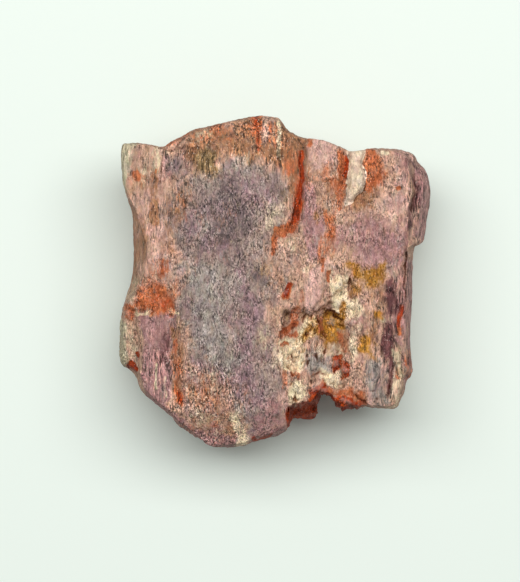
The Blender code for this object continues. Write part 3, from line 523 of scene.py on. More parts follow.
        ([(2.6, -3.8), (4.8, -4.2), (5.2, -6.2), (2.8, -6.6)], 0.5, 1.0),
        ([(2.6, 2.1), (3.8, 2.1), (3.7, 0.9), (2.7, 1.0)], 0.5, 0.6),
        ([(-7.0, -10.0), (-5.2, -10.0), (-5.4, -12.8), (-7.2, -12.8)], 0.8, 0.25),
        ([(-10.0, -14.2), (-6.4, -14.2), (-6.2, -17.4), (-9.4, -17.2)], 1.0, 0.3),
        ([(-8.7, 17.6), (-7.2, 17.6), (-7.2, 16.2), (-8.7, 16.2)], 0.5, 0.6),
    ],
    "ochre": [
        ([(7.6, 2.6), (9.5, 2.7), (10.0, 1.6), (9.6, 0.4), (9.5, -1.6), (8.6, -1.6), (8.6, 0.2),
          (7.8, 0.8)], 0.6, 0.92),
        ([(9.9, 2.2), (13.8, 2.6), (13.4, 0.5), (11.5, -0.4), (10.0, 0.1)], 0.6, 0.92),
        ([(11.0, -2.8), (12.3, -2.9), (12.1, -4.0), (11.2, -4.0)], 0.3, 1.0),
        ([(9.7, -6.1), (11.2, -5.9), (11.7, -7.4), (11.3, -9.0), (9.7, -8.8)], 0.5, 1.0),
        ([(2.6, -3.6), (4.6, -3.8), (5.6, -4.6), (5.4, -6.0), (4.2, -6.2), (2.8, -6.3), (2.4, -5.8),
          (3.2, -4.8)], 0.6, 0.75),
        ([(5.0, -3.3), (8.0, -3.6), (8.2, -5.6), (7.9, -7.8), (6.2, -7.4), (5.0, -5.6)], 0.4, 1.0),
        ([(5.2, 8.6), (6.6, 8.4), (6.4, 7.0), (5.2, 7.2)], 0.6, 0.7),
    ],
    "rust": [
        ([(-16.6, 12.9), (-15.5, 13.1), (-15.0, 12.3), (-15.3, 11.3), (-16.4, 11.4)], 0.3, 0.9),
        ([(-16.2, 0.2), (-14.5, 1.2), (-13.2, 2.0), (-12.2, 1.4), (-11.2, 0.2), (-10.7, -1.0),
          (-10.9, -3.0), (-16.2, -3.2)], 1.0, 0.6),
        ([(-15.9, -0.8), (-14.5, -0.6), (-13.0, 0.0), (-12.5, -0.1), (-12.0, -1.0), (-11.5, -1.4),
          (-11.4, -3.1), (-12.2, -2.7), (-13.3, -2.4), (-14.0, -2.9), (-15.2, -3.2),
          (-16.0, -3.2)], 0.6, 0.95),
        ([(-17.9, -2.8), (-16.4, -2.8), (-16.0, -3.6), (-16.2, -4.5), (-17.7, -4.5)], 0.2, 1.0),
        ([(2.2, 15.8), (3.4, 15.4), (3.3, 10.5), (3.1, 7.2), (2.6, 6.4), (1.8, 7.0), (1.6, 9.4),
          (1.2, 12.0), (0.6, 13.6)], 0.6, 0.6),
        ([(7.3, 15.7), (8.3, 15.5), (8.5, 13.8), (8.3, 12.0), (8.1, 11.2), (7.5, 11.6),
          (7.3, 13.5)], 0.25, 1.0),
        ([(10.2, 15.4), (11.8, 15.2), (13.0, 14.3), (13.3, 12.6), (12.6, 11.2), (11.4, 10.7),
          (10.5, 11.2), (10.4, 12.6), (10.2, 13.4)], 0.5, 1.0),
        ([(5.0, 7.8), (6.4, 7.6), (6.9, 4.6), (6.4, 2.2), (5.3, 2.6), (4.9, 5.0)], 0.7, 0.85),
        ([(1.6, 0.2), (2.0, 0.0), (1.8, -0.6), (1.6, -1.9), (1.1, -2.1), (0.6, -1.6), (0.8, -1.1),
          (1.3, -0.8)], 0.10, 1.0),
        ([(2.2, -2.8), (2.4, -3.8), (2.9, -4.4), (2.8, -5.0), (2.0, -5.4), (1.4, -5.9), (0.7, -5.9),
          (1.6, -5.1), (2.0, -4.2), (1.9, -3.2)], 0.10, 1.0),
        ([(-3.2, 19.2), (-1.7, 19.5), (-1.6, 15.0), (-2.4, 14.6), (-3.2, 16.0)], 0.5, 0.8),
        ([(-7.2, 18.4), (-4.4, 18.8), (-4.8, 16.4), (-7.0, 16.0)], 0.7, 0.7),
        ([(-10.0, 16.4), (-7.0, 16.4), (-7.0, 15.1), (-9.6, 15.1)], 0.6, 0.6),
        ([(6.4, -8.6), (7.6, -8.7), (7.7, -10.1), (6.6, -10.1)], 0.12, 1.0),
        ([(7.7, -9.2), (8.6, -9.3), (8.6, -11.0), (7.7, -10.9)], 0.12, 1.0),
        ([(3.6, -12.2), (5.4, -11.4), (8.6, -12.0), (10.8, -13.0), (10.4, -14.6), (7.0, -13.4),
          (5.0, -12.6), (4.0, -13.4)], 0.5, 0.9),
        ([(14.9, -7.8), (15.9, -8.0), (16.2, -11.4), (15.1, -11.4)], 0.4, 0.8),
        ([(-10.4, -10.4), (-7.0, -10.6), (-5.8, -14.0), (-6.0, -18.8), (-9.0, -18.8),
          (-11.6, -16.0)], 1.4, 0.35),
        ([(5.6, 15.0), (7.4, 15.2), (7.3, 12.6), (6.4, 11.0), (3.6, 11.2), (4.0, 12.8)], 0.9, 0.7),
        ([(4.2, 13.4), (8.0, 13.0), (8.2, 9.0), (6.6, 7.6), (5.0, 8.2)], 1.1, 0.4),
        ([(-13.2, 16.2), (-13.0, 15.6), (-11.6, 15.6), (-9.8, 16.8), (-10.4, 17.8)], 0.3, 0.8),
        ([(-13.0, 10.4), (-10.4, 10.2), (-10.2, 7.0), (-12.8, 7.2)], 1.0, 0.3),
    ],
    "clay": [
        ([(7.8, 14.5), (8.5, 14.3), (8.6, 13.2), (8.3, 11.6), (7.8, 12.2)], 0.35, 1.0),
        ([(1.6, -14.5), (2.6, -14.5), (3.6, -14.0), (3.9, -12.9), (4.6, -12.2), (5.2, -12.2),
          (6.6, -13.1), (7.2, -13.6), (7.6, -16.0), (7.0, -16.0), (5.6, -17.6),
          (1.0, -17.6)], 0.4, 1.0),
        ([(-12.9, -1.8), (-11.6, -1.6), (-11.4, -3.0), (-12.9, -2.9)], 0.4, 0.5),
        ([(-15.6, -1.2), (-12.6, -1.0), (-12.6, -2.8), (-15.6, -3.0)], 0.7, 0.35),
        ([(7.0, -12.9), (8.8, -13.1), (9.4, -14.2), (8.8, -15.6), (7.0, -15.0)], 0.4, 1.0),
        ([(8.8, -13.0), (10.6, -13.6), (10.8, -15.0), (8.8, -15.4)], 0.5, 0.5),
    ],
    "plum": [
        ([(15.5, 14.4), (16.2, 14.4), (16.5, 12.0), (16.4, 10.0), (16.2, 6.6), (15.2, 6.2),
          (15.0, 7.6), (15.4, 11.0)], 0.5, 0.9),
        ([(15.0, 7.2), (16.0, 7.4), (15.9, 3.6), (15.2, 2.0), (14.9, 3.4)], 0.4, 0.85),
        ([(13.0, -0.4), (13.9, 0.0), (14.5, -0.7), (14.3, -2.6), (13.9, -3.8), (12.9, -4.1),
          (12.6, -3.0)], 0.4, 1.0),
        ([(12.0, -4.2), (13.8, -4.2), (14.1, -6.5), (13.7, -8.9), (12.3, -8.8),
          (11.7, -7.0)], 0.6, 1.0),
        ([(14.0, 1.8), (15.0, 1.8), (15.2, -2.6), (14.8, -7.0), (14.2, -6.0),
          (14.6, -2.0)], 0.6, 0.5),
        ([(-2.8, -18.0), (-0.6, -17.6), (0.6, -17.2), (0.4, -18.4), (-2.4, -19.2)], 0.4, 0.5),
    ],
    "moss": [
        ([(-19.2, 16.8), (-15.8, 16.8), (-16.2, 14.6), (-16.6, 11.8), (-17.6, 9.8),
          (-19.2, 12.0)], 1.1, 0.95),
        ([(-19.0, -4.2), (-17.5, -4.4), (-17.2, -6.0), (-17.2, -9.2), (-17.9, -10.2),
          (-19.0, -9.0)], 0.5, 1.0),
        ([(-17.8, 0.4), (-16.2, 0.4), (-16.0, -2.4), (-17.6, -2.6)], 0.5, 0.5),
        ([(13.5, -7.6), (14.5, -7.8), (14.6, -11.0), (13.5, -11.0)], 0.3, 0.6),
    ],
    "bone": [
        ([(8.4, 15.4), (10.3, 15.4), (10.1, 13.5), (10.4, 13.0), (10.4, 12.0), (10.3, 11.0),
          (10.1, 10.5), (9.4, 9.9), (8.9, 9.3), (8.2, 8.9), (8.15, 10.5), (8.2, 11.5), (8.6, 13.0),
          (8.7, 13.8), (8.4, 14.4)], 0.25, 1.0),
    ],
}

# Narrow streaks of the stains: points along each, half width, how much.
STAIN_STREAKS = {
    "rose": [
        ([(-1.1, 18.9), (-1.0, 16.2)], 0.45, 0.45),
        ([(0.5, 18.2), (0.4, 14.2)], 0.35, 0.8),
        ([(-13.55, -9.4), (-13.5, -12.0)], 0.25, 0.8),
        ([(-13.2, -11.5), (-13.1, -13.3)], 0.25, 0.8),
        ([(-14.8, -9.0), (-14.7, -11.0)], 0.25, 0.7),
    ],
    "mauve": [
        ([(-12.4, -4.4), (-12.3, -8.6)], 0.6, 0.7),
        ([(-14.4, -13.6), (-11.6, -16.2), (-8.6, -18.4), (-5.2, -19.2), (-2.8, -18.6),
          (0.6, -17.6)], 0.8, 0.8),
    ],
    "ash": [
        ([(0.45, 15.8), (0.4, 14.0)], 0.45, 0.3),
        ([(-4.4, -14.4), (-4.1, -18.6)], 0.40, 0.7),
    ],
    "dusk": [
        ([(-8.7, -2.9), (-8.7, -4.0)], 0.5, 0.6),
        ([(-2.3, 0.7), (-1.6, 0.2)], 0.5, 0.7),
        ([(0.7, -3.0), (0.8, -4.0)], 0.6, 0.3),
    ],
    "brown": [
        ([(-13.8, 13.0), (-13.9, 7.0)], 0.5, 0.6),
        ([(-9.9, 14.4), (-9.1, 14.0)], 0.35, 0.8),
        ([(-11.4, -6.0), (-11.2, -13.6)], 0.70, 0.6),
    ],
    "cream": [
        ([(-16.0, -3.6), (-15.0, -3.5), (-14.2, -3.2), (-13.7, -2.7), (-13.3, -2.5), (-12.9, -2.85),
          (-12.2, -2.9), (-11.7, -3.3), (-11.2, -3.5)], 0.20, 0.9),
        ([(-6.0, 12.7), (-5.0, 13.3), (-4.0, 14.0), (-3.0, 14.2)], 0.8, 0.25),
        ([(-13.55, -9.5), (-13.7, -12.2)], 0.12, 0.8),
        ([(-12.6, -11.0), (-12.7, -13.2)], 0.12, 0.5),
        ([(-13.5, 15.2), (-13.45, 12.8)], 0.15, 0.5),
        ([(0.5, 17.8), (0.4, 14.4)], 0.25, 0.45),
        ([(12.4, 14.9), (12.9, 14.8)], 0.30, 0.8),
        ([(0.3, 18.6), (0.3, 18.0)], 0.20, 0.8),
        ([(12.3, -4.1), (12.9, -4.9)], 0.25, 0.7),
        ([(-13.6, -1.9), (-13.6, -2.0)], 0.20, 0.9),
    ],
    "ochre": [
        ([(1.2, -6.2), (3.2, -6.3)], 0.6, 0.45),
        ([(3.2, -4.6), (4.6, -5.3)], 1.0, 0.3),
        ([(7.9, -2.6), (8.0, -3.8)], 0.4, 0.7),
        ([(2.4, -7.2), (3.2, -7.8)], 0.5, 0.5),
    ],
    "rust": [
        ([(-15.9, 12.3), (-15.7, 12.1)], 0.40, 0.8),
        ([(2.4, 6.6), (1.8, 6.2), (1.0, 5.9), (0.35, 5.8)], 0.50, 0.95),
        ([(0.3, 5.6), (0.0, 4.6), (0.0, 3.2)], 0.35, 0.85),
        ([(5.5, 2.5), (5.5, 1.2)], 0.25, 0.8),
        ([(6.2, 0.9), (6.25, 0.3)], 0.30, 0.95),
        ([(7.6, 11.0), (7.5, 8.8)], 0.45, 0.7),
        ([(-11.3, -12.6), (-11.1, -14.0)], 0.38, 0.9),
        ([(-11.5, -7.0), (-11.3, -12.6)], 0.35, 0.5),
        ([(14.4, -2.8), (14.3, -4.5), (14.5, -6.0)], 0.30, 1.0),
        ([(1.9, -10.2), (2.6, -10.8)], 0.30, 0.8),
        ([(1.2, -10.2), (1.0, -11.8)], 0.35, 0.7),
        ([(0.7, -7.1), (1.5, -7.2)], 0.25, 0.8),
        ([(14.1, -10.0), (14.1, -11.0)], 0.35, 0.8),
        ([(14.1, 10.8), (14.15, 10.7)], 0.30, 0.9),
        ([(3.0, -1.0), (3.0, -2.2)], 0.35, 0.5),
        ([(5.2, -4.4), (5.3, -5.8)], 0.40, 0.7),
        ([(7.6, -6.2), (7.8, -8.2)], 0.45, 0.7),
        ([(0.8, -6.2), (2.6, -6.0)], 0.35, 0.6),
        ([(2.6, -3.0), (2.5, -3.8)], 0.40, 0.6),
        ([(-0.5, 18.0), (-0.5, 16.0)], 0.20, 0.6),
        ([(0.05, 17.8), (0.0, 15.8)], 0.20, 0.5),
        ([(0.75, 16.4), (0.75, 14.8)], 0.20, 0.5),
        ([(-13.6, 12.9), (-13.5, 11.4)], 0.35, 0.4),
        ([(-12.9, 2.6), (-12.9, 0.8)], 0.50, 0.6),
        ([(3.9, 16.4), (4.1, 15.8)], 0.30, 0.8),
    ],
    "clay": [
        ([(3.1, 15.0), (3.1, 12.0), (2.8, 9.5), (2.5, 7.2)], 0.35, 0.75),
        ([(2.7, 10.8), (2.2, 9.0), (2.2, 7.0)], 0.50, 0.5),
        ([(-16.8, -9.7), (-16.3, -10.0)], 0.50, 1.0),
        ([(-15.9, -8.3), (-15.7, -8.7)], 0.28, 0.9),
        ([(-11.25, -12.9), (-11.15, -13.8)], 0.30, 0.6),
        ([(1.6, -0.2), (1.2, -1.6)], 0.35, 0.85),
        ([(2.3, -4.4), (1.6, -5.5)], 0.25, 0.4),
        ([(7.0, -8.9), (7.1, -9.8)], 0.40, 0.75),
        ([(8.2, -9.6), (8.2, -10.6)], 0.40, 0.75),
        ([(-0.6, -17.9), (-2.6, -18.2)], 0.25, 0.7),
        ([(8.0, -13.7), (8.9, -14.2)], 0.60, 1.0),
        ([(14.4, -2.9), (14.3, -4.8)], 0.30, 0.9),
        ([(-2.1, 19.2), (-1.95, 15.2)], 0.30, 0.6),
        ([(-12.6, 15.6), (-10.4, 16.7)], 0.50, 0.35),
    ],
    "plum": [
        ([(15.4, -8.8), (15.3, -11.4)], 0.5, 0.6),
        ([(13.4, -8.8), (13.3, -10.5), (13.0, -12.6)], 0.35, 0.8),
        # Partly painted shade: this darkens the rim nodule by the notch, which is partly dark clay,
        # partly in shadow.
        ([(8.2, -13.9), (8.9, -14.1)], 0.40, 0.6),
        ([(-16.7, -9.7), (-16.3, -9.9)], 0.25, 0.5),
        ([(17.3, 12.5), (17.3, 11.0)], 0.7, 0.5),
        ([(17.0, 9.4), (16.9, 7.4)], 0.6, 0.5),
        ([(-4.6, 16.6), (-3.6, 15.8)], 0.90, 0.4),
        ([(-12.8, -6.4), (-12.7, -9.0)], 0.60, 0.7),
    ],
}

# The other colours as seen on a screen.
# Cracks and ledges: their dirt and painted shade.
CRACK_DIRT_AND_SHADE_COLOUR = (84, 50, 36)
SPECK_COLOUR = (112, 82, 76)
# Painted shade for the hollows and creases, brown like the stain that lies in them.
HOLLOW_SHADE_COLOUR = (146, 92, 52)
# Painted highlight: the colour of the glints on grains and of the paled crests.
PAINTED_HIGHLIGHT_COLOUR = (250, 240, 226)
# Painted shade on the steep sides.
SIDE_SHADE_COLOUR = (150, 108, 96)
FLOOR_COLOUR = (240, 250, 241)

# A noise moves the edges of a stain's areas about: the sizes of its broad and its fine lumps
# across and along, the fine ones' weight, and how far it reaches as a share of the widening.
# Another thins the areas: by up to what share of the widening, and the size of its lumps.
BROAD_DRIFT, FINE_DRIFT, FINE_DRIFT_WEIGHT = (2.6, 3.6), (1.0, 1.5), 0.5
DRIFT_REACH = 0.75
THINNING, THINNING_SIZE = 0.07, (2.0, 3.4)

# A stain's amount that is above the first of these is raised by up to the second as a share, so
# that it covers the stone fully.
FULL_FROM, FULL_GAIN = 0.85, 0.30

# The height above which the crumbs, lumps and cracks of the upper side show, and the height over
# which they, and the stains of the upper side, come in fully.
SHOWN_FROM, SHOWN_OVER = 5.0, 2.5

# The blotches of stain on the sides and the underside: the sizes of the large and the small ones
# across and along, the small ones' weight, and how sharply they end.
LARGE_BLOTCHES, SMALL_BLOTCHES, SMALL_BLOTCH_WEIGHT = (3.4, 8.0), (1.0, 2.4), 0.5
BLOTCH_SHARPNESS = 1.6

# Painted shade makes the steep sides darker than the upper face: the steepness at which that
# starts, as the upward part of the surface's direction, how far it takes to reach all of it,
# and how strong that is.
SIDE_FROM, SIDE_OVER, SIDE_SHADE_SHARE = 0.45, 0.40, 0.3

# How strongly the flecks show on plain ground, the share that smooth ground loses of that, and
# where they show more: corners, width of the edge, share.
GRIT, SMOOTH_LOSS = 0.55, 0.6
GRITTY_AREAS = [
    ([(-12.0, -9.0), (-5.0, -9.6), (-3.4, -13.0), (-3.2, -20.0), (-9.0, -20.0),
      (-13.2, -15.2)], 1.5, 1.0),
    ([(-10.5, 17.6), (-0.5, 19.8), (2.6, 17.2), (1.0, 13.4), (-4.0, 13.4), (-9.4, 12.0)], 1.0, 0.7),
    ([(-15.5, -7.6), (-11.2, -7.4), (-11.4, -14.0), (-15.5, -12.0)], 0.9, 0.6),
    ([(-12.8, 15.2), (-9.4, 15.0), (-9.0, 12.0), (-12.8, 11.8)], 0.6, 0.8),
]

# How much of the flecks is long fibres, and where it is more: corners, width of the edge, share.
STRANDS = 0.25
STRAND_AREAS = [
    ([(-10.5, 17.6), (-0.5, 19.8), (4.0, 17.2), (3.4, 6.6), (0.4, 8.0), (-1.0, 13.6),
      (-9.4, 12.0)], 1.0, 0.8),
    ([(9.6, -3.6), (16.4, 4.0), (16.4, -12.0), (12.0, -15.0), (10.0, -10.0)], 0.8, 0.9),
    ([(-15.8, -8.0), (-11.4, -8.6), (-11.2, -14.4), (-15.8, -13.0)], 0.8, 0.9),
    ([(14.6, 15.0), (19.0, 15.0), (19.0, -12.0), (15.0, -12.0)], 0.6, 1.0),
    ([(3.2, -7.0), (6.4, -7.0), (6.4, -11.0), (3.2, -11.2)], 0.5, 0.8),
    ([(-18.6, 16.8), (-9.0, 16.8), (-9.6, 11.6), (-12.0, 6.0), (-14.0, 1.0),
      (-18.6, 1.0)], 1.0, 0.8),
]

# The grain's layers of noise: lumps to a millimetre across and along, detail, and the values
# that become 0 and 1. A slow noise bends them all: lumps to a millimetre, detail, and how far it
# reaches along X, Y and Z.
GRAIN_LAYERS = {
    "Fibre": (5.6, 2.8, 3.0, 0.32, 0.68),
    "Strand": (4.2, 0.7, 4.0, 0.34, 0.66),
    "Tone": (0.9, 0.5, 4.0, 0.32, 0.68),
    "Cloud": (1.5, 0.9, 5.0, 0.36, 0.64),
    "Patch": (0.6, 0.4, 2.0, 0.40, 0.60),
}
GRAIN_ROUGHNESS = 0.75
BEND_SCALE, BEND_DETAIL, BEND_REACH = 0.7, 2.0, (0.5, 0.9, 0.5)

# Single grains: how many to a millimetre across and along, how far from a grain's middle a spot
# ends and is full, and between which random values a grain comes to hold a painted glint, which
# is a highlight painted into its colour, or a speck.
GRAINS_ACROSS, GRAINS_ALONG = 8.0, 3.6
SPOT_END, SPOT_FULL = 0.45, 0.15
PAINTED_GLINT_RANGE, SPECK_RANGE = (0.72, 0.86), (0.56, 0.80)

# A slow change of tint that multiplies the colour: lumps to a millimetre across and along,
# detail, how much of red, green and blue it adds, and the least that it leaves of each.
TINT_ACROSS, TINT_ALONG, TINT_DETAIL = 2.0, 1.0, 3.0
TINT_REACH, TINT_LEAST = (0.30, 0.26, 0.34), (0.85, 0.87, 0.83)

# How a stain breaks into clumps: their stretch along Y, lumps to a millimetre, detail, the values
# that become 0 and 1, the weight of clumps and streaks in the threshold, how much an amount is
# raised before it is set against that, and the step from one stain's seed to the next.
CLUMP_STRETCH, CLUMP_SCALE, CLUMP_DETAIL = (1.0, 0.6, 1.0), 0.6, 5.0
CLUMP_RANGE, THRESHOLD_WEIGHT, AMOUNT_GAIN = (0.37, 0.63), 0.45, 1.17
SEED_STEP = 3.7

# The weight of the long fibres in the tone, and that of the single grains in the streaks.
TONE_FIBRES, STREAK_GRAINS = 0.4, 0.35

# Flecks brighten and darken the colour: how strongly, the least of that in the patches where
# they are weak, and the middle value that changes nothing. Clouds do so too: how strongly, and
# their darkest level. The last of these is the darkest that both can make it.
FLECK_CONTRAST, FLECK_LEAST, FLECK_MIDDLE = 4.5, 0.45, 0.5
CLOUD_CONTRAST, CLOUD_LEAST, DARKEST = 0.74, 0.70, 0.22

# How much a painted glint, a highlight painted into a grain's colour, adds to the brightness and
# to the colour, and a speck takes away.
PAINTED_GLINT_GAIN, PAINTED_GLINT_SHARE, SPECK_SHARE = 1.5, 0.5, 0.85

# Fine relief that is darkened as low ground, by painted shade in the hollows and creases that
# also browns them like the stain in them, or paled as high ground, by a painted highlight on the
# crests: where that starts and is full, and how strong it is. The fibres take up to the first of
# the last two values off a crack's darkening, which is partly dirt and partly painted shade, and
# that darkening covers the stone where the second is left.
HOLLOW_SHADE = (-0.10, -0.26, 0.85)
CREST_HIGHLIGHT = (0.05, 0.28, 0.15)
CRACK_BREAK, CRACK_RANGE = 0.5, 0.5

# The gloss: roughness of the dull and the waxy grains, index of refraction, level of its shine,
# and the height of the flecks as bumps.
DULL, WAXY = 0.80, 0.45
REFRACTION, SHINE = 1.62, 0.14
FLECK_HEIGHT = 0.08

# The light on the floor, as the brightness of a white surface there, the light that the stone's
# gloss throws back, and the least light that a colour throws back without it.
LIGHT_LEVEL = 1.08
GLOSS_VEIL, LEAST_LIGHT = 0.015, 0.002

# The lamp, in metres and watts: place, size, power. The surround's strength, and the floor's
# half width in metres and roughness.
LAMP_PLACE, LAMP_SIZE, LAMP_POWER = (0.01, 0.165, 0.43), (0.90, 0.28), 3.1
SURROUND_STRENGTH = 0.24
FLOOR_HALF, FLOOR_ROUGHNESS = 3.0, 0.9

# The camera's place above the stone, the length along Y that fills the picture and the height
# at which it does so, the sensor's height, and the nearest that it sees, in metres.
CAMERA_CENTRE = (-1.74, -1.07)
CAMERA_HEIGHT = 400.0
VIEW_TALL, VIEW_LEVEL = 67.5, 10.0
SENSOR_TALL, NEAREST_SEEN = 24.0, 0.01


def hashed(ix, iy, iz, seed):
    """A repeatable number from -1 to 1 for each point of a grid of whole numbers."""
    n = ix * 374761393 + iy * 668265263 + iz * 974634777 + seed * 1274126177
    n = (n ^ (n >> 13)) * 1274126177
    n = (n ^ (n >> 16)) & 0xFFFFFF
    return n / float(0x7FFFFF) - 1.0


def noise(x, y, z, seed):
    """Smooth lumps about one unit across, from -1 to 1: grid values blended along x, y and z."""
    cells = [np.floor(v).astype(np.int64) for v in (x, y, z)]
    parts = [v - c for v, c in zip((x, y, z), cells)]
    parts = [p * p * (3.0 - 2.0 * p) for p in parts]
    total = 0.0
    for corner in np.ndindex(2, 2, 2):
        weight = 1.0
        for step, part in zip(corner, parts):
            weight = weight * np.abs(1 - step - part)
        total = total + weight * hashed(*(c + step for c, step in zip(cells, corner)), seed)
    return total


def long_noise(x, y, z, size, seed):
    """Noise in lumps of that size across, which is along X and Z, and along Y."""
    across, along = size
    return noise(x / across, y / along, z / across, seed)


def plan_noise(x, y, size, seed):
    """Noise over the plan, in lumps of that size across and along."""
    return long_noise(x, y, 0.0 * x, size, seed)


def smooth(t):
    """0 below 0, 1 above 1, and an S curve between them."""
    t = np.clip(t, 0.0, 1.0)
    return t * t * (3.0 - 2.0 * t)


def stepped(t, steps):
    """The slope from 0 to 1 made a staircase: each step is level, then climbs, then is level."""
    level, climb = 0.3, 0.4
    step = np.floor(t * steps)
    return (step + smooth((t * steps - step - level) / climb)) / steps


def distance_to_path(x, y, path):
    """The distance from each point to the nearest place on a path of straight runs."""
    best = np.inf
    for (ax, ay), (bx, by) in zip(path, path[1:]):
        run_x, run_y = bx - ax, by - ay
        along = np.clip(((x - ax) * run_x + (y - ay) * run_y) / (run_x**2 + run_y**2), 0.0, 1.0)
        best = np.minimum(best, np.hypot(x - ax - along * run_x, y - ay - along * run_y))
    return best


def depth_inside(x, y, corners):
    """How far each point lies inside a closed outline of straight runs, below 0 outside it."""
    closed = corners + corners[:1]
    inside = False
    for (ax, ay), (bx, by) in zip(closed, closed[1:]):
        if ay != by:
            crosses = (ay > y) != (by > y)
            inside = inside ^ (crosses & (x < (bx - ax) * (y - ay) / (by - ay) + ax))
    distance = distance_to_path(x, y, closed)
    return np.where(inside, distance, -distance)


def wandered(x, y):
    """The plan moved about a little by two sizes of noise, so that what is drawn on it has
    uneven edges."""
    moved_x, moved_y = x, y
    for k, (size, reach_x, reach_y) in enumerate(WANDERS):
        moved_x = moved_x + reach_x * plan_noise(x, y, size, WANDER_SEED_X + k)
        moved_y = moved_y + reach_y * plan_noise(x, y, size, WANDER_SEED_Y + k)
    return moved_x, moved_y


def crown(x, y):
    """The upper face without its relief: a low crown that slopes off to three of its sides."""
    z = CREST_HEIGHT - CROWN_ACROSS * x**2 - CROWN_ALONG * (y - CROWN_CENTRE_Y) ** 2
    z -= LEFT_SLOPE * np.maximum(0.0, LEFT_SLOPE_FROM - x)
    z -= TOP_SLOPE * np.maximum(0.0, y - TOP_SLOPE_FROM)
    return z - BOTTOM_SLOPE * np.maximum(0.0, BOTTOM_SLOPE_FROM - y)


def relief(x, y):
    """How far the upper face stands above its crown: long ridges along Y, areas with stepped
    edges, grooves with a bell-shaped section, and broad swells."""
    z = FACE_RIDGE_HEIGHT * noise(x / FACE_RIDGE_SPACING, y / RIDGE_LENGTH, 0.0 * x, 3)
    for (cx, cy), (half_x, half_y), height in SWELLS:
        z += height * smooth(SWELL_REACH - np.hypot((x - cx) / half_x, (y - cy) / half_y))
    x, y = wandered(x, y)
    for corners, height, edge in AREAS:
        z += height * smooth(depth_inside(x, y, corners) / edge)
    for path, half_width, depth in GROOVES:
        z -= depth * np.exp(-((distance_to_path(x, y, path) / half_width) ** 2))
    return z


def curve_through(points, steps):
    """A closed smooth curve through the points, in that many steps from each to the next. Its
    slope at each point is half the way from the point before to the point after."""
    p = np.array(points, float)
    before, after, beyond = (np.roll(p, -k, 0)[:, None] for k in (-1, 1, 2))
    p = p[:, None]
    t = (np.arange(steps) / steps)[None, :, None]
    curve = p + t * 0.5 * (after - before)
    curve += t**2 * (before - 2.5 * p + 2.0 * after - 0.5 * beyond)
    curve += t**3 * (1.5 * (p - after) + 0.5 * (beyond - before))
    return curve.reshape(-1, 2)


def outline_ring(cells_across, cells_along):
    """The widest outline as a ring of points, evenly spread on each of its four edges. Distance
    across an edge's own direction counts for less than distance along it."""
    edges = [TOP_EDGE, RIGHT_EDGE, BOTTOM_EDGE, LEFT_EDGE]
    less = 0.3
    weights = [(1.0, less), (less, 1.0)] * 2
    steps = 12
    curve = curve_through([point for edge in edges for point in edge], steps)
    ring, start = [], 0
    for edge, weight, cells in zip(edges, weights, (cells_across, cells_along) * 2):
        end = start + len(edge) * steps
        stretch = np.take(curve, np.arange(start, end + 1), axis=0, mode="wrap")
        travel = np.concatenate([[0.0], np.cumsum(np.abs(np.diff(stretch, axis=0)) @ weight)])
        wanted = np.linspace(0.0, travel[-1], cells + 1)[:-1]
        ring.append(np.column_stack([np.interp(wanted, travel, stretch[:, k]) for k in (0, 1)]))
        start = end
    return np.concatenate(ring)


def places_on(ring):
    """How far round the ring each of its points is, and the whole way round."""
    moves = np.linalg.norm(np.diff(ring, axis=0, append=ring[:1]), axis=1)
    return np.cumsum(moves) - moves, moves.sum()


def wall_values(ring):
    """Rim inset, waist height and foot inset at each point of the ring, blended evenly from
    station to station."""
    place, length = places_on(ring)
    nearest = [np.argmin(np.linalg.norm(ring - np.array(row[0]), axis=1)) for row in WALL_STATIONS]
    values = [np.array([row[k] for row in WALL_STATIONS]) for k in (1, 2, 3)]
    order = np.argsort(place[nearest])
    stations = place[nearest][order]
    return [np.interp(place, stations, v[order], period=length) for v in values]


def smoothed(ring, length):
    """The ring with its small features gone: each point is the mean of those near it on the
    ring, weighted by a bell curve of their distance."""
    place, total = places_on(ring)
    apart = np.abs(place[:, None] - place[None, :])
    weight = np.exp(-((np.minimum(apart, total - apart) / length) ** 2))
    return weight @ ring / weight.sum(axis=1)[:, None]


def pulled_in(ring, inset):
    """The ring moved towards the stone's middle by the inset."""
    return ring * (1.0 - inset / np.linalg.norm(ring, axis=1))[:, None]


def break_up(points, strength):
    """Wall points moved in and out, seen from above, by ledges and by the long ridges."""
    x, y, z = points.T
    ledges = 0.5 + 0.5 * noise(x / LEDGE_SPACING, y / LEDGE_SPACING, z / LEDGE_SPACING, 11)
    ridges = noise(x / WALL_RIDGE_SPACING, y / RIDGE_LENGTH, z / WALL_RIDGE_SPACING, 5)
    out = LEDGE_HEIGHT * (stepped(ledges, LEDGE_STEPS) - 0.5 - LEDGE_INWARD)
    out += WALL_RIDGE_HEIGHT * ridges
    plan = points[:, :2]
    away = plan / np.linalg.norm(plan, axis=1)[:, None]
    return np.column_stack([plan + away * (out * strength)[:, None], z])


def chip_off(points):
    """Points beyond a chip's plane pushed straight back onto it, less so past its reach."""
    for at, facing, tilt, reach in CHIPS:
        a, e = np.radians(facing), np.radians(tilt)
        normal = np.array([np.cos(a) * np.cos(e), np.sin(a) * np.cos(e), np.sin(e)])
        away = points - np.array(at)
        share = smooth(2.0 * (1.0 - np.linalg.norm(away, axis=1) / reach))
        points = points - (np.maximum(0.0, away @ normal) * share)[:, None] * normal
    return points


def foot_height(x, y, out):
    """The underside's height: flat on the ground in the middle and bowing up to its edge, with
    low lumps. out is 0 in the middle and 1 at the edge."""
    lumps = noise(x / FOOT_LUMP_SPACING, y / FOOT_LUMP_SPACING, 0.0 * x, 23)
    return np.maximum(0.0, FOOT_BOW * (out**2 - FLAT_SHARE) + FOOT_LUMP_HEIGHT * lumps)


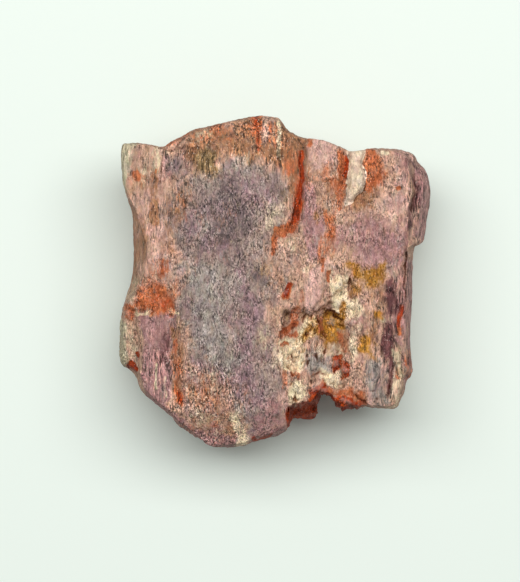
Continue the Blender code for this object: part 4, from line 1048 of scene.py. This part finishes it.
def wall_rings(ring, rows):
    """Rings of points from the upper face's rim out to the waist and in to the foot, with that
    many rows on each half. Each half is a quarter of an ellipse in section, and the upper
    face's relief dies away over the upper one."""
    inset, waist, foot_inset = wall_values(ring)
    rim = smoothed(pulled_in(ring, inset), RIM_SMOOTHING)
    foot = pulled_in(smoothed(ring, FOOT_SMOOTHING), foot_inset)
    rim_height = crown(*rim.T)
    foot_level = foot_height(*foot.T, 1.0)
    rings = [np.column_stack([rim, rim_height + relief(*rim.T)])]
    for angle in np.linspace(0.0, 0.5 * np.pi, rows + 1)[1:]:
        plan = rim + (ring - rim) * np.sin(angle)
        height = waist + (rim_height - waist + relief(*plan.T)) * np.cos(angle)
        strength = UPPER_HALF_SHARE * np.sin(2.0 * angle)
        points = break_up(np.column_stack([plan, height]), strength)
        rings.append(chip_off(points))
    for angle in np.linspace(0.0, 0.5 * np.pi, rows + 1)[1:]:
        plan = ring + (foot - ring) * (1.0 - np.cos(angle))
        height = waist + (foot_level - waist) * np.sin(angle)
        points = break_up(np.column_stack([plan, height]), np.sin(2.0 * angle))
        rings.append(np.maximum(chip_off(points), [-np.inf, -np.inf, 0.0]))
    return rings


def patch(ring, cells_across, cells_along):
    """A grid of points that fills a ring: each blends the four edges, less the corners."""
    closed = np.concatenate([ring, ring[:1]])
    a, b, c = np.cumsum([cells_across, cells_along, cells_across])
    top, right = closed[: a + 1], closed[a : b + 1][::-1, None]
    bottom, left = closed[b : c + 1][::-1], closed[c:][:, None]
    u = np.linspace(0.0, 1.0, cells_across + 1)[None, :, None]
    v = np.linspace(0.0, 1.0, cells_along + 1)[:, None, None]
    grid = (1 - v) * bottom + v * top + (1 - u) * left + u * right
    grid -= (1 - v) * ((1 - u) * bottom[0] + u * bottom[-1])
    grid -= v * ((1 - u) * top[0] + u * top[-1])
    return relaxed(grid).reshape(-1, 2)


def relaxed(grid):
    """The grid with its inner points moved, round by round, to where no lines cross. Each goes
    to the mean of its neighbours, those to its sides weighted by the squared spacing along and
    those before and behind by the squared spacing across, less a term for the grid's skew."""
    for _ in range(RELAXING_ROUNDS):
        west, east, south, north = grid[1:-1, :-2], grid[1:-1, 2:], grid[:-2, 1:-1], grid[2:, 1:-1]
        across, along = east - west, north - south
        side_weight = (along**2).sum(axis=2, keepdims=True)
        end_weight = (across**2).sum(axis=2, keepdims=True)
        skew = 0.5 * (across * along).sum(axis=2, keepdims=True)
        twist = grid[2:, 2:] - grid[2:, :-2] - grid[:-2, 2:] + grid[:-2, :-2]
        moved = side_weight * (east + west) + end_weight * (north + south) - skew * twist
        grid[1:-1, 1:-1] = moved / (2.0 * (side_weight + end_weight))
    return grid


def grid_numbers(cells_across, cells_along, first):
    """The numbers of a grid's points, row by row."""
    index = first + np.arange((cells_across + 1) * (cells_along + 1))
    return index.reshape(cells_along + 1, cells_across + 1)


def grid_rim(index):
    """The numbers of a grid's edge points, clockwise from its top left, as a ring has them."""
    return np.concatenate([index[-1, :-1], index[:0:-1, -1], index[0, :0:-1], index[:-1, 0]])


def grid_faces(index):
    """The grid's four-sided faces, facing up."""
    corners = (index[:-1, :-1], index[:-1, 1:], index[1:, 1:], index[1:, :-1])
    return np.column_stack([corner.ravel() for corner in corners])


def stone_mesh(cells_across, cells_along, rows):
    """The stone's points and its faces: the upper face as a grid, the walls as rings, and the
    underside as a grid with half as many cells each way."""
    ring = outline_ring(cells_across, cells_along)
    rings = wall_rings(ring, rows)
    plan = patch(rings[0][:, :2], cells_across, cells_along)
    points = [np.column_stack([plan, crown(*plan.T) + relief(*plan.T)])]
    index = grid_numbers(cells_across, cells_along, 0)
    faces = grid_faces(index).tolist()
    above, count = grid_rim(index), len(plan)
    for wall_ring in rings[1:]:
        below = count + np.arange(len(ring))
        faces += np.column_stack([above, np.roll(above, -1), np.roll(below, -1), below]).tolist()
        points.append(wall_ring)
        above, count = below, count + len(ring)
    half_across, half_along = cells_across // 2, cells_along // 2
    inner_share = 1.0 - 1.0 / half_across
    x, y = patch(rings[-1][::2, :2] * inner_share, half_across, half_along).T
    u, v = np.meshgrid(np.linspace(-1, 1, half_across + 1), np.linspace(-1, 1, half_along + 1))
    out = inner_share * np.maximum(np.abs(u), np.abs(v)).ravel()
    points.append(np.column_stack([x, y, foot_height(x, y, out)]))
    index = grid_numbers(half_across, half_along, count)
    inner, beyond = grid_rim(index), np.roll(grid_rim(index), -1)
    first, middle, last = above[::2], above[1::2], np.roll(above, -2)[::2]
    faces += np.column_stack([first, middle, inner]).tolist()
    faces += np.column_stack([middle, last, beyond]).tolist()
    faces += np.column_stack([middle, beyond, inner]).tolist()
    faces += grid_faces(index)[:, ::-1].tolist()
    return np.concatenate(points), faces


def upper_share(points):
    """1 on the upper face and the top of the walls, falling to 0 on the lower half."""
    return smooth((points[:, 2] - SHOWN_FROM) / SHOWN_OVER)


def inside_share(x, y, corners, edge):
    """1 inside an outline and 0 outside it, with an S curve as wide as the edge between them."""
    return smooth(0.5 + depth_inside(x, y, corners) / edge)


def streak_share(x, y, path, half_width):
    """1 on a path and 0 away from it, with an S curve between half the half width and one and a
    half times it."""
    return smooth(1.5 - distance_to_path(x, y, path) / half_width)


def largest_share(points, areas):
    """The largest share that any of the areas gives each point: corners, width of the edge,
    share."""
    x, y = wandered(*points.T[:2])
    largest = 0.0
    for corners, edge, share in areas:
        largest = np.maximum(largest, share * inside_share(x, y, corners, edge))
    return largest


def fine_relief(points):
    """How far the surface stands out from its plain form: fibres along Y everywhere, lower on
    smooth ground, then on the upper side crumbs in three sizes with creases between them,
    rounded lumps and cracks."""
    x, y, z = points.T
    height = 0.0
    for k, (size, rise) in enumerate(FIBRES):
        height = height + rise * long_noise(x, y, z, size, FIBRE_SEED + k)
    shown = upper_share(points)
    x, y = wandered(x, y)
    for corners, edge, share in SMOOTH_AREAS:
        height *= 1.0 - share * shown * inside_share(x, y, corners, edge)
    for k, (corners, edge, spacing, size) in enumerate(ROUGH_AREAS):
        crumbs = 0.0
        for octave in range(CRUMB_SIZES):
            across = spacing / 2.0**octave
            lumps = np.abs(long_noise(x, y, z, (across, CRUMB_LENGTH * across), CRUMB_SEED + k))
            crumbs = crumbs + (CRUMB_RISE * lumps - CREASE_DEPTH) / CRUMB_FADE**octave
        height += size * 0.5 * crumbs * (shown * inside_share(x, y, corners, edge))
    for (cx, cy), radius, size in LUMPS:
        height += size * shown * smooth(LUMP_REACH - np.hypot(x - cx, y - cy) / radius)
    for path, half_width, depth, _ in CRACKS:
        near = np.exp(-((distance_to_path(x, y, path) / half_width) ** 2))
        height -= depth * shown * near
    return height


def stain_amount(points, number, name):
    """How much of a stain lies at each point, from 0 to 1. On the upper side its areas and
    streaks are laid over each other: each leaves bare its own share of what was bare before it.
    A noise moves the areas' widened edges about, another thins the areas, and large amounts are
    raised. Elsewhere the stain comes in blotches of noise."""
    looks = STAINS[name]
    widening = looks["wide"] - 1.0
    x, y = wandered(*points.T[:2])
    broad, fine = BROAD_DRIFT_SEED + 2 * number, FINE_DRIFT_SEED + 2 * number
    drift_x, drift_y = (
        plan_noise(x, y, BROAD_DRIFT, broad + k)
        + FINE_DRIFT_WEIGHT * plan_noise(x, y, FINE_DRIFT, fine + k) for k in (0, 1))
    thinner = plan_noise(x, y, THINNING_SIZE, THINNING_SEED + number)
    thin = THINNING * widening * smooth(0.5 + thinner)
    bare = 1.0 - looks["all_over"]
    for corners, edge, amount in STAIN_AREAS[name]:
        reach = DRIFT_REACH * edge * widening
        inside = inside_share(x + reach * drift_x, y + reach * drift_y, corners,
                              edge * looks["wide"])
        bare = bare * (1.0 - amount * (1.0 - thin) * inside)
    for path, half_width, amount in STAIN_STREAKS.get(name, []):
        bare = bare * (1.0 - amount * streak_share(x, y, path, half_width))
    past_full = smooth((1.0 - FULL_FROM - bare) / (1.0 - FULL_FROM))
    laid = (1.0 - bare) * (1.0 + FULL_GAIN * past_full)
    x, y, z = points.T
    large = long_noise(x, y, z, LARGE_BLOTCHES, LARGE_BLOTCH_SEED + number)
    small = long_noise(x, y, z, SMALL_BLOTCHES, SMALL_BLOTCH_SEED + number)
    blotches = large + SMALL_BLOTCH_WEIGHT * small
    hidden = looks["hidden"]
    elsewhere = hidden * smooth(0.5 + BLOTCH_SHARPNESS * (blotches + hidden - 0.5))
    shown = smooth((z - looks["down_to"]) / SHOWN_OVER)
    return laid * shown + elsewhere * (1.0 - shown)


def crack_amount(points):
    """How dark each point is in a crack or a ledge's shadow: partly dirt, partly painted shade."""
    x, y = wandered(*points.T[:2])
    darkest = 0.0
    for path, half_width, _, dark in CRACKS:
        darkest = np.maximum(darkest, dark * streak_share(x, y, path, half_width))
    return darkest * upper_share(points)


def grit_amount(points):
    """How strongly light and dark flecks stand out: GRIT everywhere, more in gritty areas and
    less on smooth ground."""
    more = (1.0 - GRIT) * largest_share(points, GRITTY_AREAS)
    return GRIT + more - GRIT * SMOOTH_LOSS * largest_share(points, SMOOTH_AREAS)


def surface_colour(screen):
    """A colour as seen on a screen under this light, made the surface's own linear colour: the
    veil of light that its gloss throws back is taken off first."""
    s = np.array(screen) / 255.0
    linear = np.where(s <= 0.04045, s / 12.92, ((s + 0.055) / 1.055) ** 2.4)
    return (*(np.maximum(linear - GLOSS_VEIL, LEAST_LIGHT) / LIGHT_LEVEL).tolist(), 1.0)


def give_inputs(tree, node, inputs):
    """Each input, by its name or number, given a value or joined to a socket."""
    for name, value in inputs.items():
        if isinstance(value, bpy.types.NodeSocket):
            tree.links.new(value, node.inputs[name])
        else:
            node.inputs[name].default_value = value


def add_node(tree, kind, inputs, **settings):
    """A new node with its settings and inputs."""
    node = tree.nodes.new(kind)
    for name, value in settings.items():
        setattr(node, name, value)
    give_inputs(tree, node, inputs)
    return node


def calculate(tree, operation, *values):
    """The result of a Math node."""
    return add_node(tree, "ShaderNodeMath", dict(enumerate(values)), operation=operation).outputs[0]


def weighted_sum(tree, first, weight, second, other_weight):
    """Two values added, each times its own weight."""
    rest = calculate(tree, "MULTIPLY", second, other_weight)
    return calculate(tree, "MULTIPLY_ADD", first, weight, rest)


def calculate_vector(tree, operation, inputs):
    """The result of a Vector Math node."""
    return add_node(tree, "ShaderNodeVectorMath", inputs, operation=operation).outputs[0]


def spread(tree, value, low, high, to_low=0.0, to_high=1.0):
    """The value spread from one range to another, and held at its ends."""
    inputs = {"Value": value, "From Min": low, "From Max": high, "To Min": to_low,
              "To Max": to_high}
    return add_node(tree, "ShaderNodeMapRange", inputs).outputs["Result"]


def blend_colours(tree, share, under, over, blend="MIX"):
    """One colour laid over another by a share."""
    return add_node(tree, "ShaderNodeMix", {0: share, 6: under, 7: over}, data_type="RGBA",
                    blend_type=blend).outputs[2]


def attribute(tree, name):
    """A value held at the surface's points."""
    return add_node(tree, "ShaderNodeAttribute", {}, attribute_name=name).outputs["Fac"]


def add_group(tree, group, inputs):
    """The outputs of a group placed in a tree, with its inputs given."""
    return add_node(tree, "ShaderNodeGroup", inputs, node_tree=group).outputs


def new_group(name, inputs, outputs):
    """An empty node group with named sockets, and its input and output nodes."""
    group = bpy.data.node_groups.new(name, "ShaderNodeTree")
    for title, kind in inputs.items():
        group.interface.new_socket(title, in_out="INPUT", socket_type=kind)
    for title, kind in outputs.items():
        group.interface.new_socket(title, in_out="OUTPUT", socket_type=kind)
    return group, group.nodes.new("NodeGroupInput"), group.nodes.new("NodeGroupOutput")


def grain_group():
    """The stone's fine grain, with Position in millimetres: short and long fibres along Y, slow
    changes of tone and tint, clouds of brightness, patches where flecks are strong, a random
    value for each grain, and painted glints, which are highlights painted into the colour, and
    specks, both spots in the middle of some grains."""
    outputs = dict.fromkeys((*GRAIN_LAYERS, "Grain", "PaintedGlint", "Speck"), "NodeSocketFloat")
    group, start, end = new_group("grains", {"Position": "NodeSocketVector"},
                                  outputs | {"Tint": "NodeSocketVector"})
    position = start.outputs["Position"]
    bend = add_node(group, "ShaderNodeTexNoise",
                    {"Vector": position, "Scale": BEND_SCALE, "Detail": BEND_DETAIL})
    bent = calculate_vector(group, "MULTIPLY_ADD",
                            {0: bend.outputs["Color"], 1: BEND_REACH, 2: position})

    def stretched(across, along):
        return calculate_vector(group, "MULTIPLY", {0: bent, 1: (across, along, across)})

    results = {}
    for name, (across, along, detail, low, high) in GRAIN_LAYERS.items():
        made = add_node(group, "ShaderNodeTexNoise",
                        {"Vector": stretched(across, along), "Scale": 1.0, "Detail": detail,
                         "Roughness": GRAIN_ROUGHNESS})
        results[name] = spread(group, made.outputs["Fac"], low, high)
    cells = add_node(group, "ShaderNodeTexVoronoi",
                     {"Vector": stretched(GRAINS_ACROSS, GRAINS_ALONG), "Scale": 1.0})
    chances = add_node(group, "ShaderNodeSeparateColor", {"Color": cells.outputs["Color"]}).outputs
    spot = spread(group, cells.outputs["Distance"], SPOT_END, SPOT_FULL)
    results["Grain"] = chances["Red"]
    for name, chance, ends in (("PaintedGlint", "Green", PAINTED_GLINT_RANGE), ("Speck", "Blue", SPECK_RANGE)):
        results[name] = calculate(group, "MULTIPLY", spot, spread(group, chances[chance], *ends))
    tints = add_node(group, "ShaderNodeTexNoise",
                     {"Vector": stretched(TINT_ACROSS, TINT_ALONG), "Scale": 1.0,
                      "Detail": TINT_DETAIL})
    results["Tint"] = calculate_vector(group, "MULTIPLY_ADD",
                                       {0: tints.outputs["Color"], 1: TINT_REACH, 2: TINT_LEAST})
    give_inputs(group, end, results)
    return group


def stain_group():
    """A stain laid over a colour. A spot takes it as far as the amount passes the spot's
    threshold, which is a noise that each seed changes and the streaks' own value, times the
    mottle. The further that has to pass to be covered, the softer the stain. Its colour runs
    from pale to deep with the tone."""
    colours = dict.fromkeys(("Under", "Pale", "Deep"), "NodeSocketColor")
    values = dict.fromkeys(("Seed", "Amount", "Streaks", "Tone", "Mottle", "Softness"),
                           "NodeSocketFloat")
    group, start, end = new_group("stain", colours | {"Position": "NodeSocketVector"} | values,
                                  {"Colour": "NodeSocketColor"})
    given = start.outputs
    place = calculate_vector(group, "MULTIPLY", {0: given["Position"], 1: CLUMP_STRETCH})
    clumps = add_node(group, "ShaderNodeTexNoise",
                      {"Vector": place, "W": given["Seed"], "Scale": CLUMP_SCALE,
                       "Detail": CLUMP_DETAIL, "Roughness": GRAIN_ROUGHNESS},
                      noise_dimensions="4D")
    clump = spread(group, clumps.outputs["Fac"], *CLUMP_RANGE)
    threshold = weighted_sum(group, given["Streaks"], THRESHOLD_WEIGHT, clump, THRESHOLD_WEIGHT)
    taken = calculate(group, "MULTIPLY", threshold, given["Mottle"])
    over = weighted_sum(group, given["Amount"], AMOUNT_GAIN, taken, -1.0)
    share = spread(group, over, 0.0, given["Softness"])
    colour = blend_colours(group, given["Tone"], given["Pale"], given["Deep"])
    give_inputs(group, end, {"Colour": blend_colours(group, share, given["Under"], colour)})
    return group


def stained_colour(tree, position, grains):
    """The ground's colour, pale to deep with the tone, with each stain laid over it in turn. The
    stains take turns with four kinds of streaks, so that they don't all keep to the same grains."""
    tone = weighted_sum(tree, grains["Strand"], TONE_FIBRES, grains["Tone"], 1.0 - TONE_FIBRES)
    streaks = [weighted_sum(tree, grains["Grain"], STREAK_GRAINS, part, 1.0 - STREAK_GRAINS)
               for part in (grains["Strand"], grains["Fibre"])]
    streaks += [calculate(tree, "SUBTRACT", 1.0, part) for part in streaks]
    colour = blend_colours(tree, tone, *(surface_colour(c) for c in GROUND))
    group = stain_group()
    for number, (name, looks) in enumerate(STAINS.items()):
        colour = add_group(tree, group, {
            "Under": colour, "Pale": surface_colour(looks["pale"]),
            "Deep": surface_colour(looks["deep"]), "Position": position,
            "Seed": SEED_STEP * number, "Amount": attribute(tree, name),
            "Streaks": streaks[number % len(streaks)], "Tone": tone,
            "Mottle": looks["mottle"], "Softness": looks["soft"]})["Colour"]
    return colour


def flecked_colour(tree, colour, grains, fleck):
    """A colour made brighter and darker by flecks, clouds, specks and a slow tint, with painted
    glints, painted shade in the hollows and on the sides, cracks darkened by dirt and by painted
    shade, and a painted highlight on the crests."""
    lively = calculate(tree, "MULTIPLY", calculate(tree, "ADD", grains["Patch"], FLECK_LEAST),
                       attribute(tree, "grit"))
    painted_glint = calculate(tree, "MULTIPLY", grains["PaintedGlint"], lively)
    speck = calculate(tree, "MULTIPLY", grains["Speck"], lively)
    strength = calculate(tree, "MULTIPLY", calculate(tree, "SUBTRACT", fleck, FLECK_MIDDLE), lively)
    level = calculate(tree, "MULTIPLY_ADD", grains["Cloud"], CLOUD_CONTRAST, CLOUD_LEAST)
    level = calculate(tree, "MULTIPLY_ADD", strength, FLECK_CONTRAST, level)
    level = calculate(tree, "MAXIMUM", level, DARKEST)
    level = calculate(tree, "MULTIPLY_ADD", painted_glint, PAINTED_GLINT_GAIN, level)
    colour = calculate_vector(tree, "SCALE", {0: colour, "Scale": level})
    colour = blend_colours(tree, 1.0, colour, grains["Tint"], "MULTIPLY")
    height = attribute(tree, "relief")
    # Painted shade on low ground and a painted highlight on high ground of the fine relief.
    low, high = (spread(tree, height, start, full, 0.0, share)
                 for start, full, share in (HOLLOW_SHADE, CREST_HIGHLIGHT))
    broken = calculate(tree, "MULTIPLY", grains["Fibre"], CRACK_BREAK)
    crack_dirt_and_shade = calculate(tree, "SUBTRACT", attribute(tree, "crack"), broken)
    # Laid over in turn: specks, painted glints, painted shade in the hollows, a painted highlight
    # on the crests, painted shade on the sides, and the cracks' dirt and painted shade.
    for share, over, blend in (
            (calculate(tree, "MULTIPLY", speck, SPECK_SHARE), SPECK_COLOUR, "MULTIPLY"),
            (calculate(tree, "MULTIPLY", painted_glint, PAINTED_GLINT_SHARE), PAINTED_HIGHLIGHT_COLOUR, "MIX"),
            (low, HOLLOW_SHADE_COLOUR, "MULTIPLY"),
            (high, PAINTED_HIGHLIGHT_COLOUR, "MIX"),
            (calculate(tree, "MULTIPLY", attribute(tree, "side"), SIDE_SHADE_SHARE), SIDE_SHADE_COLOUR,
             "MULTIPLY"),
            (spread(tree, crack_dirt_and_shade, 0.0, CRACK_RANGE), CRACK_DIRT_AND_SHADE_COLOUR, "MIX")):
        colour = blend_colours(tree, share, colour, surface_colour(over), blend)
    return colour


def stone_material():
    """Grains of the ground colour and of each stain in turn, with flecks that are short fibres
    or, where there are strands, long ones. The gloss is dull to waxy with the flecks, which also
    stand out a little as bumps."""
    material = bpy.data.materials.new("tourmaline_stone_weathered")
    material.use_nodes = True
    tree = material.node_tree
    place = add_node(tree, "ShaderNodeTexCoord", {}).outputs["Object"]
    position = calculate_vector(tree, "SCALE", {0: place, "Scale": 1.0 / MM})
    grains = add_group(tree, grain_group(), {"Position": position})
    fleck = add_node(tree, "ShaderNodeMix", {0: attribute(tree, "strands"), 2: grains["Fibre"],
                                             3: grains["Strand"]}).outputs[0]
    bump = add_node(tree, "ShaderNodeBump", {"Strength": 1.0, "Distance": FLECK_HEIGHT * MM,
                                             "Height": fleck})
    colour = stained_colour(tree, position, grains)
    give_inputs(tree, tree.nodes["Principled BSDF"], {
        "Base Color": flecked_colour(tree, colour, grains, fleck),
        "Roughness": spread(tree, fleck, 0.0, 1.0, DULL, WAXY),
        "IOR": REFRACTION,
        "Specular IOR Level": SHINE,
        "Normal": bump.outputs["Normal"],
    })
    return material


def build_stone():
    """The stone's fine surface: the plain form pushed out along its own normals by the fine
    relief, kept above the ground, with the amount of each stain at its points."""
    points, faces = stone_mesh(CELLS_ACROSS, CELLS_ALONG, WALL_ROWS)
    mesh = bpy.data.meshes.new("tourmaline_surface")
    mesh.from_pydata((points * MM).tolist(), [], faces)
    normals = np.zeros(points.size, np.float32)
    mesh.vertex_normals.foreach_get("vector", normals)
    normals = normals.reshape(-1, 3)
    fine = fine_relief(points)
    moved = points + normals * fine[:, None]
    moved[:, 2] = np.where(points[:, 2] <= 0.0, 0.0, np.maximum(moved[:, 2], 0.0))
    mesh.vertices.foreach_set("co", (moved * MM).astype(np.float32).ravel())
    amounts = {name: stain_amount(points, k, name) for k, name in enumerate(STAINS)}
    amounts["crack"] = crack_amount(points)
    amounts["relief"] = fine
    amounts["grit"] = grit_amount(points)
    # Painted shade on the sides: how far the surface faces sideways.
    amounts["side"] = smooth((SIDE_FROM - normals[:, 2]) / SIDE_OVER)
    amounts["strands"] = np.maximum(STRANDS, largest_share(points, STRAND_AREAS))
    for name, values in amounts.items():
        layer = mesh.attributes.new(name, "FLOAT", "POINT")
        layer.data.foreach_set("value", values.astype(np.float32))
    mesh.update()
    mesh.shade_smooth()
    mesh.materials.append(stone_material())
    stone = bpy.data.objects.new("tourmaline_surface", mesh)
    bpy.context.scene.collection.objects.link(stone)
    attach(stone, "root")
    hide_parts("tourmaline")


def build_floor():
    """A plain pale floor at the stone's foot."""
    half = FLOOR_HALF
    mesh = bpy.data.meshes.new("floor")
    mesh.from_pydata([(-half, -half, 0), (half, -half, 0), (half, half, 0), (-half, half, 0)], [],
                     [(0, 1, 2, 3)])
    material = bpy.data.materials.new("pale_floor")
    material.use_nodes = True
    give_inputs(material.node_tree, material.node_tree.nodes["Principled BSDF"],
                {"Base Color": surface_colour(FLOOR_COLOUR), "Roughness": FLOOR_ROUGHNESS})
    mesh.materials.append(material)
    floor = bpy.data.objects.new("floor", mesh)
    bpy.context.scene.collection.objects.link(floor)


def area_light(name, place, size, power):
    """A flat lamp that faces the stone."""
    lamp = bpy.data.lights.new(name, "AREA")
    lamp.shape = "RECTANGLE"
    lamp.size, lamp.size_y = size
    lamp.energy = power
    holder = bpy.data.objects.new(name, lamp)
    holder.location = place
    x, y, z = place
    holder.rotation_euler = (math.atan2(math.hypot(x, y), z), 0.0, math.atan2(x, -y))
    bpy.context.scene.collection.objects.link(holder)


def light_the_scene():
    """Soft light from high on the far side, and a pale surround."""
    area_light("window_light", LAMP_PLACE, LAMP_SIZE, LAMP_POWER)
    world = bpy.data.worlds.new("pale_surround")
    world.use_nodes = True
    give_inputs(world.node_tree, world.node_tree.nodes["Background"],
                {"Color": (1.0, 1.0, 1.0, 1.0), "Strength": SURROUND_STRENGTH})
    bpy.context.scene.world = world


def place_camera():
    """A camera straight above the stone, with the top of the picture towards +Y."""
    camera = bpy.data.cameras.new("camera")
    camera.sensor_fit = "VERTICAL"
    camera.sensor_height = SENSOR_TALL
    camera.lens = SENSOR_TALL * (CAMERA_HEIGHT - VIEW_LEVEL) / VIEW_TALL
    camera.clip_start = NEAREST_SEEN
    holder = bpy.data.objects.new("camera", camera)
    holder.location = (CAMERA_CENTRE[0] * MM, CAMERA_CENTRE[1] * MM, CAMERA_HEIGHT * MM)
    bpy.context.scene.collection.objects.link(holder)
    bpy.context.scene.camera = holder


build_stone()
build_floor()
light_the_scene()
place_camera()
bpy.context.scene.view_settings.view_transform = "Standard"
